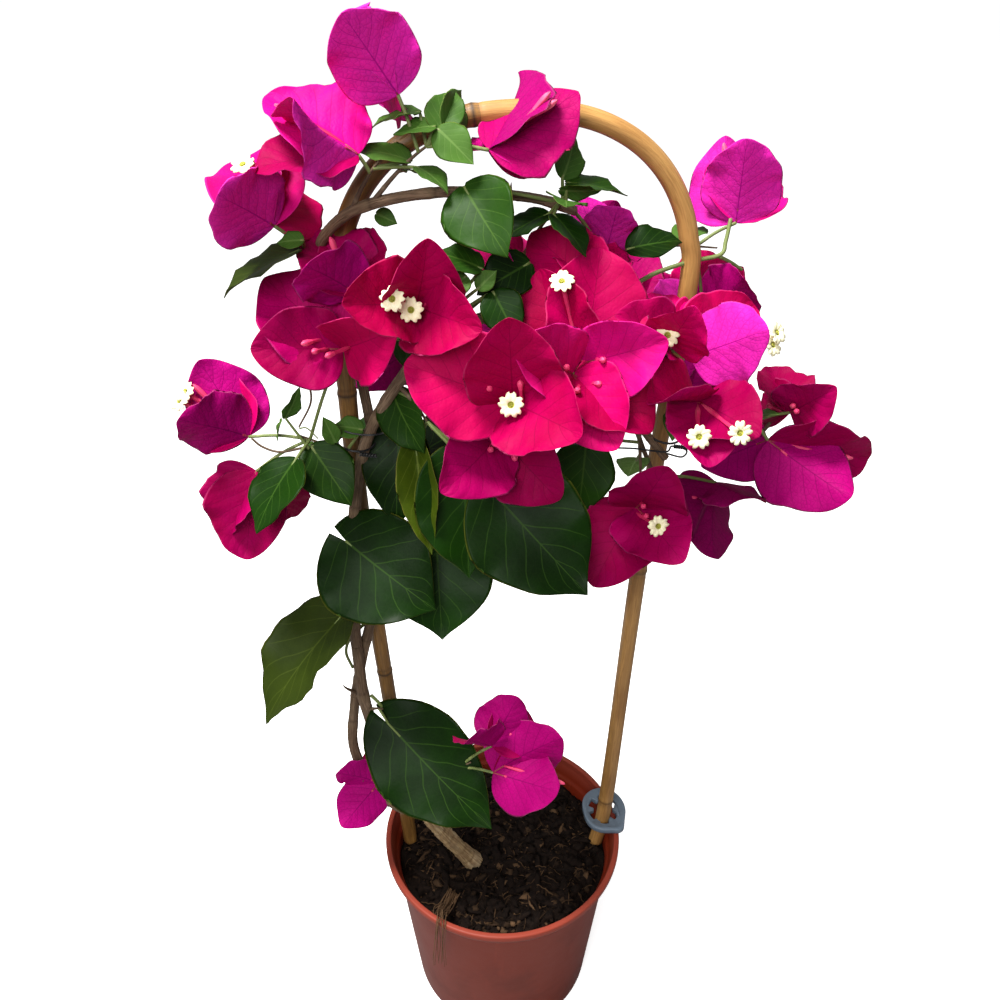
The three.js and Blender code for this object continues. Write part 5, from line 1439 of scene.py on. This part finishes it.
# Blooms that aren't listed have one of these tints.
OTHER_TINTS = ("magenta", "purple", "crimson")
# Leaves with deeper lobes at the foot than the rest, as shares of their length.
HEARTS = {("spray_left_leaves", 0): 0.17, ("spray_low_leaf", 0): 0.16}

GREEN, BROWN, RED = range(len(STALK_FINISHES))
# Thin growth too small for the solids: its finish, its radius at both ends and its run.
TWIGLETS = [
    (GREEN, 0.9, 0.6, [(-102, -16, 471), (-107, -16, 480), (-112, -16, 489)]),
    (GREEN, 0.45, 0.35, [(-105, -18, 484), (-101, -18, 484), (-96, -18, 478)]),
    (GREEN, 1.1, 0.9, [(-83, -4, 344), (-94, -4, 331), (-98, -4, 319), (-95, -4, 306)]),
    (GREEN, 1.2, 1.0, [(-84, -10, 288), (-78, -12, 281), (-72, -14, 268)]),
    (GREEN, 0.9, 0.8, [(-62, -6, 424), (-58, -6, 434), (-49, -6, 442)]),
    (GREEN, 1.2, 1.0, [(63, 16, 546), (77, 22, 552), (95, 26, 557), (111, 28, 560),
                       (114, 32, 566), (116, 36, 576)]),
    (GREEN, 1.0, 0.8, [(111, 28, 559), (119, 34, 554), (126, 38, 549)]),
    (BROWN, 0.6, 0.5, [(-96, -24, 515), (-96, -24, 502), (-104, -22, 487)]),
    (BROWN, 0.7, 0.6, [(-103, -16, 472), (-117, -16, 469), (-126, -16, 472), (-131, -16, 477)]),
    (BROWN, 1.6, 1.2, [(72, 8, 472), (77, 8, 459), (86, 10, 438)]),
    (BROWN, 1.1, 0.9, [(131, -8, 472), (137, -8, 477), (140, -8, 482)]),
    (BROWN, 1.4, 0.15, [(-94, -1, 281), (-100, -5, 289), (-103, -6, 294)]),
]
# Young leaves too small for the solids: foot, tip, turn of the face about the midrib and breadth.
LEAFLETS = [
    ((-112, -16, 489), (-101, -18, 505), 60, 0.6), ((-114, -16, 488), (-120, -16, 476), 60, 0.6),
    ((-60, 0, 588), (-50, -4, 585), 0, 1.0), ((26, 0, 599), (46, 2, 596), 60, 0.6),
    ((-88, -15, 474), (-92, -16, 489), 20, 0.8),
]

# How thick stems and stalks are against their solids, at the foot, at a stem's tip and at a stalk's tip.
TWIG_FOOT, STEM_TIP, STALK_TIP = 0.75, 0.35, 0.7
# Radii in millimetres: a small flower's stalk, and a leaf's from foot to tip.
FLOWER_STALK = 0.55
LEAF_STALK = (0.95, 0.7)


def add_twigs(stalks, twigs, number):
    """A spray's brown stem and the green stalks of its blooms."""
    for i, (line, start, end) in enumerate(twigs):
        steps = max(8, int(line.length / 1.6))
        shares = np.linspace(0, 1, steps + 1)
        points = smooth_line(line.points, 6).evenly(steps)
        slot, tip = (BROWN, STEM_TIP) if i == 0 else (GREEN, STALK_TIP)
        radii = start * TWIG_FOOT + (end * tip - start * TWIG_FOOT) * shares
        add_limb(stalks, points, radii, number + i, sides=10, gap=15, slot=slot, rough=0.8)


def add_flowers(blooms, stalks, bracts, flowers, number):
    """The three small flowers of a bloom, each on the midrib of its own bract. Those not listed are buds."""
    centre = bracts[0]["base"]
    for bract, flower in zip(bracts, flowers + [None] * len(bracts)):
        number += 1
        root, face = blade_points(bract, 0.16, 0.0)[0], bract["face"]
        if flower:
            kind, *place = flower
            mouth = vec(*place)
        else:
            kind = "bud"
            mouth = root + face * 2 + unit(bract["tip"] + 0.4 * face) * 9
        foot = root if kind == "bud" else centre * 0.6 + root * 0.4
        add_tube(stalks, curve_between(centre, foot, face, 0.1, 5), FLOWER_STALK, 8, RED)
        if kind == "open":
            add_open_flower(blooms, foot, mouth, unit(0.6 * unit(mouth - foot) + FRONT), number)
        else:
            add_bud(blooms, foot, mouth, number)
    return number


def add_leaf(leaves, stalks, leaf, age, heart, number):
    """A leaf, and its stalk, which runs on under the foot of its midrib."""
    skin = BIG_LEAF_SKIN if leaf["length"] > BIG_LEAF else LEAF_SKIN
    skin = skin if heart is None else {**skin, "heart": heart}
    add_blade(leaves, leaf, number, leaf_slots(leaf["length"], age), skin)
    root, base = leaf["root"], leaf["base"]
    stalk = curve_between(root, base, unit(base - root) + 0.3 * UP, 0.12, 10)
    stalk = np.vstack([stalk, blade_points(leaf, 0.12, 0.0)[0] - leaf["face"] * 0.5])
    add_tube(stalks, stalk, np.linspace(*LEAF_STALK, len(stalk)), 10, GREEN)


def build_sprays():
    """The sprays' bracts in two pieces, turn about, and all their leaves, stalks and flowers in one each."""
    plans = grow_all()
    bracts, blooms, leaves, stalks = [Heap(), Heap()], Heap(), Heap(), Heap()
    number = 0
    for which, (name, plan) in enumerate(plans.items()):
        add_twigs(stalks, plan["twigs"], 100 + which * 7)
        looks = BLOOMS.get(name, [])
        for k, three in enumerate(plan["blooms"]):
            other = (OTHER_TINTS[(which + k) % len(OTHER_TINTS)], [])
            tints, flowers = looks[k] if k < len(looks) else other
            # A bract's tint paints its light and shade into its colour.
            for bract, tint in zip(three, (tints.split() * 3)[:3]):
                number += 1
                inner = 2 * list(TINTS_LIT_AND_SHADED).index(tint)
                add_blade(bracts[which % 2], bract, number, (inner, inner + 1), BRACT_SKIN)
            number = add_flowers(blooms, stalks, three, flowers, number)
        for k, leaf in enumerate(plan["leaves"]):
            number += 1
            add_leaf(leaves, stalks, leaf, AGES_AND_PAINTED_SHADE.get((name, k)), HEARTS.get((name, k)), number)
    for slot, start, end, path in TWIGLETS:
        points = smooth_line(path).points
        add_tube(stalks, points, np.linspace(start, end, len(points)), 10, slot)
    for base, tip, turn, broad in LEAFLETS:
        number += 1
        way = vec(*tip) - vec(*base)
        length = float(np.linalg.norm(way))
        leaf = leaf_blade(None, vec(*base), unit(way), length, turn, FRONT, broad)
        add_blade(leaves, leaf, number, leaf_slots(length, "young"), LEAFLET_SKIN)
    names = list(plans)
    flowering = [name for name in names if SPRAYS[name]["blooms"] or SPRAYS[name]["heads"]]
    for i, side in enumerate(("a", "b")):
        here = [name for name in names[i::2] if name in flowering]
        bracts[i].build("bracts_" + side, BRACT_FINISHES, "bract", here)
    leaves.build("leaves", LEAF_FINISHES, "leaf", names)
    stalks.build("stalks", STALK_FINISHES, "leaf", names)
    blooms.build("flowers", STALK_FINISHES + FLOWER_FINISHES, "bract", flowering)


# ---------------------------------------------------------------- pot, soil, clip and ties


def ring_at(r, z, angle):
    return np.stack([r * np.cos(angle), r * np.sin(angle), np.broadcast_to(z, angle.shape)], 1)


def lathed(heap, profile, sides, tone, shape):
    """A closed round body from its half outline, from the foot's middle up outside and back down inside."""
    angle = around_circle(sides)
    rings = [shape(ring_at(r, z, angle), angle) for r, z in profile[1:-1]]
    points = np.vstack([np.vstack(rings), [[0, 0, profile[0][1]], [0, 0, profile[-1][1]]]])
    # tone(r, z) gives each ring its paleness; on the pot it paints a highlight on the lip.
    worn = [tone(r, z) for r, z in profile[1:-1] for _ in range(sides)] + [0, 0]
    heap.add(points, capped(len(rings), sides), 0, tone=worn)


def rounded(corners, radius, steps):
    """A half outline with its corners rounded off."""
    out = [corners[0]]
    for before, here, after in zip(corners, corners[1:], corners[2:]):
        a, b, c = vec(*before), vec(*here), vec(*after)
        cut = min(radius, 0.45 * np.linalg.norm(a - b), 0.45 * np.linalg.norm(c - b))
        start, end = b + unit(a - b) * cut, b + unit(c - b) * cut
        for t in np.linspace(0, 1, steps):
            out.append(tuple((1 - t) ** 2 * start + 2 * t * (1 - t) * b + t * t * end))
    return out + [corners[-1]]


def build_pot():
    p, wall = POT, POT["wall"]
    collar = p["height"] - p["collar"]
    outer = p["wall_top"] + p["step"]
    lip_width = 4
    corners = [(0, 0.8), (p["foot"] - 12, 0.8), (p["foot"] - 10, 0), (p["foot"], 0),
               (p["wall_top"], collar), (outer, collar + 1.2), (p["rim"] - 1.2, p["height"] - 5),
               (p["rim"], p["height"] - 4.4), (p["rim"], p["height"]),
               (p["rim"] - lip_width, p["height"]), (p["rim"] - lip_width, p["height"] - 4.2),
               (outer - wall, collar + 1), (p["wall_top"] - wall, collar - 1.5),
               (p["foot"] - wall, p["floor"]), (0, p["floor"])]
    heap = Heap()

    def out_of_true(ring, angle):
        ring[:, :2] *= (1 + 0.0016 * np.sin(2 * angle + 0.6) + 0.0008 * np.sin(5 * angle))[:, None]
        return ring

    # The rim's outer band is painted paler, as a painted highlight where the lip catches the light.
    def painted_lip_highlight(r, z):
        return 0.3 if z > p["height"] - 6 and r > p["rim"] - lip_width - 0.5 else 0.0

    lathed(heap, rounded(corners, 1.4, 5), 144, painted_lip_highlight, out_of_true)
    heap.build("pot_shell", [POT_FINISH], "terracotta_plastic", ["pot"])


def soil_level(x, y):
    """How high the soil lies: slightly heaped, lumpy, and sunken at the wall."""
    r = np.hypot(x, y)
    lumps = 1.6 * np.sin(x * 0.21 + 1.3) * np.sin(y * 0.19) + 1.2 * np.sin(x * 0.47 + y * 0.31)
    lumps = lumps + 0.9 * np.sin(x * 0.9 - y * 0.8 + 2)
    return SOIL_TOP - 1.6 + lumps * 0.8 - 1.5 * np.clip((r - 55) / 20, 0, 1) ** 2


# A clump of dry roots that spills over the rim, from the soil to its hanging end.
ROOT_CLUMP = np.array([(-36, -40, 126), (-39, -50, 128), (-41, -60, 137), (-42, -69, 147), (-43, -76, 144),
                       (-44, -75, 122), (-45, -72, 94)], float)


# Where the inside of the pot's wall stands at the soil's level.
SOIL_RADIUS = POT["foot"] + (POT["wall_top"] - POT["foot"]) / (POT["height"] - POT["collar"]) * SOIL_TOP
SOIL_RADIUS = SOIL_RADIUS - POT["wall"] - 0.3
LUMPS, FIBRES, ROOTS = 1900, 420, 26


def rotation(a, b, c):
    """Turns about Z, then X, then Y, in radians, for rows of points."""
    z = np.array([[math.cos(a), math.sin(a), 0], [-math.sin(a), math.cos(a), 0], [0, 0, 1]])
    x = np.array([[1, 0, 0], [0, math.cos(b), math.sin(b)], [0, -math.sin(b), math.cos(b)]])
    y = np.array([[math.cos(c), 0, -math.sin(c)], [0, 1, 0], [math.sin(c), 0, math.cos(c)]])
    return x @ y @ z


def anywhere(chance, radius):
    """A spot on the soil within a radius, as likely here as there."""
    r, a = radius * math.sqrt(chance.uniform(0, 1)), chance.uniform(0, 2 * math.pi)
    return r * math.cos(a), r * math.sin(a)


def add_soil_body(heap, chance):
    """The body of the soil with its uneven top."""
    sides = 160
    angle = around_circle(sides)
    bottom = POT["floor"] + 0.3
    rings = [ring_at(POT["foot"] - POT["wall"] - 1, bottom, angle),
             ring_at(SOIL_RADIUS - 0.5, SOIL_TOP - 6, angle)]
    for r in np.linspace(SOIL_RADIUS, 1.2, 62):
        x, y = r * np.cos(angle), r * np.sin(angle)
        grains = chance.normal(scale=0.45, size=sides) * min(1, r / 8)
        rings.append(ring_at(r, soil_level(x, y) + grains, angle))
    points = np.vstack([np.vstack(rings), [[0, 0, bottom], [0, 0, float(soil_level(0, 0))]]])
    heap.add(points, capped(len(rings), sides), 0)


def add_lumps(heap, chance):
    """Crumbs, small clods and flat chips of bark that lie on the soil."""
    corners = 7
    ball = [[0, 0, 1]]
    for rise in (0.7, 0, -0.7):
        for turn in np.arange(corners) * 2 * math.pi / corners:
            ball.append([math.cos(turn) * math.cos(rise), math.sin(turn) * math.cos(rise), math.sin(rise)])
    ball = np.array(ball + [[0, 0, -1]])
    shell = [(0, 1 + j, 1 + (j + 1) % corners) for j in range(corners)]
    for i in (1, 1 + corners):
        shell += [(i + j, i + corners + j, i + corners + (j + 1) % corners, i + (j + 1) % corners)
                  for j in range(corners)]
    last = 1 + 2 * corners
    shell += [(len(ball) - 1, last + (j + 1) % corners, last + j) for j in range(corners)]
    for _ in range(LUMPS):
        size = 0.7 + 3.4 * chance.uniform(0, 1) ** 3
        chip = chance.uniform() < 0.5
        x, y = anywhere(chance, SOIL_RADIUS - 1 - size * (4.2 if chip else 1.7))
        scale = size * (vec(2.6, 0.8, 0.35) if chip else vec(1, 1, 0.8))
        lump = ball * (1 + 0.28 * chance.normal(size=(len(ball), 1))) * scale
        turns = chance.uniform(0, 6.28), chance.uniform(-0.5, 0.5), chance.uniform(-0.5, 0.5)
        pale = 0.0 if chance.uniform() < 0.6 or size > 3 else chance.uniform(0.05, 1) ** 2 * 0.8
        place = vec(x, y, float(soil_level(x, y)) + 0.35 * size)
        heap.add(lump @ rotation(*turns) + place, shell, 0, tone=pale)


def add_fibres(heap, chance):
    """Short bent fibres strewn on the soil, kept inside the wall."""
    for _ in range(FIBRES):
        x, y = anywhere(chance, SOIL_RADIUS - 6)
        way, long = chance.uniform(0, 2 * math.pi), chance.uniform(4, 20)
        steps = np.linspace(-0.5, 0.5, 9)
        bend = chance.uniform(-0.5, 0.5)
        xs = x + long * (steps * math.cos(way) - bend * steps ** 2 * math.sin(way))
        ys = y + long * (steps * math.sin(way) + bend * steps ** 2 * math.cos(way))
        keep = np.minimum(1, (SOIL_RADIUS - 3) / np.maximum(np.hypot(xs, ys), 1e-6))
        xs, ys = xs * keep, ys * keep
        zs = soil_level(xs, ys) + chance.uniform(0.6, 1.6) + 1.2 * chance.uniform() * np.cos(np.pi * steps)
        radius, pale = chance.uniform(0.15, 0.42), chance.uniform(0.0, 0.85) ** 2
        add_tube(heap, np.stack([xs, ys, zs], 1), radius, 6, 0, tone=pale)


def add_root_clump(heap, chance):
    """Dry roots over the rim. Two in three end there, and the rest hang down close to the wall."""
    for i in range(ROOTS):
        path = ROOT_CLUMP + chance.normal(scale=2.2, size=3) * vec(1, 0.5, 0.3)
        path = path + np.cumsum(chance.normal(scale=0.9, size=path.shape), 0)
        path = path[: 4 if i % 3 else 7]
        rim_y = ROOT_CLUMP[3:len(path), 1]
        path[3:, 1] = np.clip(path[3:, 1], rim_y - 1.5, rim_y + 0.3)
        points = smooth_line(path).points
        add_tube(heap, points, np.linspace(0.4, 0.15, len(points)), 5, 0, tone=chance.uniform(0.5, 1.0))


def build_soil():
    heap = Heap()
    chance = np.random.default_rng(41)
    add_soil_body(heap, chance)
    add_lumps(heap, chance)
    add_fibres(heap, chance)
    add_root_clump(heap, chance)
    heap.build("soil_and_fibres", [SOIL], "potting_soil", ["soil"])


# The clip's ring over its solid: how far it is drawn out and shifted towards the back, and its rounded edge.
CLIP_DRAWN, CLIP_BACK, CLIP_EDGE = 1.16, 2.5, 0.8
# The hook over the rim, from its top: drop, half width and half thickness.
HOOK = ((0.4, 5.4, 1.0), (-3, 5.6, 1.1), (-7, 5.2, 1.05), (-9.6, 4.4, 0.8), (-10.2, 3.6, 0.4))


def between(angle, bearing):
    """The difference of angles from a bearing, from -pi to pi."""
    return (angle - bearing + np.pi) % (2 * np.pi) - np.pi


def add_clip_ring(heap, outward):
    """The moulded ring: a recessed face, a lug in front, and fingers that reach in to the cane."""
    c, edge = CLIP, CLIP_EDGE
    angle = around_circle(240)
    finger = np.clip(1.7 * np.cos(c["fingers"] * angle) - 0.3, 0, 1)
    inner = c["outer"] - 5.6 - 3.9 * finger
    towards_cane = np.abs(between(angle, outward)) - np.pi
    lug = np.abs(between(angle, -0.9))
    outer = c["outer"] - 1.5 * np.exp(-(towards_cane / 0.5) ** 2) + 3.2 * np.exp(-(lug / 0.3) ** 2)
    low, high = c["bottom"], c["bottom"] + c["thick"]
    rings = []
    for wide, height in ((inner, low + edge), (inner + edge * 0.3, low + edge * 0.3), (inner + edge, low),
                         (outer - edge, low), (outer - edge * 0.3, low + edge * 0.3), (outer, low + edge),
                         (outer, high - edge), (outer - edge * 0.3, high - edge * 0.3),
                         (outer - edge, high), (outer - 2.6, high), (outer - 3.1, high - 0.7),
                         (inner + edge + 0.2, high - 0.7), (inner + edge * 0.3, high - 1.0),
                         (inner, high - 1.6)):
        rings.append(np.stack([c["x"] + wide * np.cos(angle),
                               c["y"] + CLIP_BACK + CLIP_DRAWN * wide * np.sin(angle),
                               np.full(len(angle), height)], 1))
    heap.add(np.vstack(rings), ring_faces(len(rings), len(angle), True), 0)


def add_clip_hook(heap, outward):
    """The flat hook that holds the ring on the pot's rim."""
    way, side = heading(math.degrees(outward), 0), heading(math.degrees(outward) + 90, 0)
    top = way * (POT["rim"] + 1.2) + UP * (CLIP["bottom"] + CLIP["thick"] - 0.6)
    turn = around_circle(24)
    square, flat = np.cos(turn), np.sin(turn)
    loops = []
    for drop, half, thick in HOOK:
        u = np.sign(square) * np.abs(square) ** 0.5 * half
        v = np.sign(flat) * np.abs(flat) ** 0.7 * thick
        loops.append(top + UP * drop + side * u[:, None] - way * v[:, None])
    points = np.vstack([np.vstack(loops[::-1]), loops[-1].mean(0), loops[0].mean(0)])
    heap.add(points, capped(len(loops), len(turn)), 0)


def build_clip():
    heap = Heap()
    outward = math.atan2(CLIP["y"], CLIP["x"])
    add_clip_ring(heap, outward)
    add_clip_hook(heap, outward)
    heap.build("clip_moulding", [CLIP_FINISH], "clip_plastic", ["clip"])


WIRE_RADIUS = 0.5
# Each tie, and how often the ends of its wire are twisted about each other.
TIES = {"tie_left": 3, "tie_right": 4}
# Where the ties' wires run on past their loops.
LOOSE_WIRES = [
    [(-83, -12, 479), (-77, -13, 478), (-69, -14, 478), (-63, -12, 478), (-60, -12, 480)],
    [(31, -14, 474), (49, -16, 472), (69, -16, 471), (85, -16, 469), (88, -17, 473), (96, -16, 470),
     (94, -16, 466), (86, -16, 468)],
]


def build_ties():
    """Thin plastic-coated wires drawn round a stem and the cane, with their ends twisted together."""
    heap = Heap()
    for node, turns in TIES.items():
        low, high = (vec(*corner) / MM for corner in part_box(node))
        middle = (low + high) / 2
        across, deep = (high - low)[:2] / 2 - 0.6
        angle = around_circle(56)
        loop = np.stack([middle[0] + across * np.cos(angle), middle[1] + deep * np.sin(angle),
                         middle[2] + 0.8 * np.sin(angle * 2)], 1)
        add_tube(heap, loop, 0.62, 10, 0, closed=True)
        knot = vec(middle[0] + (across * 0.3), low[1] + 0.4, middle[2])
        t = np.linspace(0, 1, 24)
        for start in (0, np.pi):
            twist = turns * 6.28 * t + start
            end = np.stack([knot[0] + 9 * t, knot[1] - 1.2 - 2 * t + 0.8 * np.sin(twist),
                            knot[2] - 1 + 0.8 * np.cos(twist)], 1)
            add_tube(heap, end, WIRE_RADIUS, 8, 0)
    for path in LOOSE_WIRES:
        add_tube(heap, smooth_line(path).points, WIRE_RADIUS, 8, 0)
    heap.build("tie_wires", [WIRE], "wire", ["tie_left", "tie_right"])


build_limbs()
build_hoop()
build_sprays()
build_pot()
build_soil()
build_clip()
build_ties()
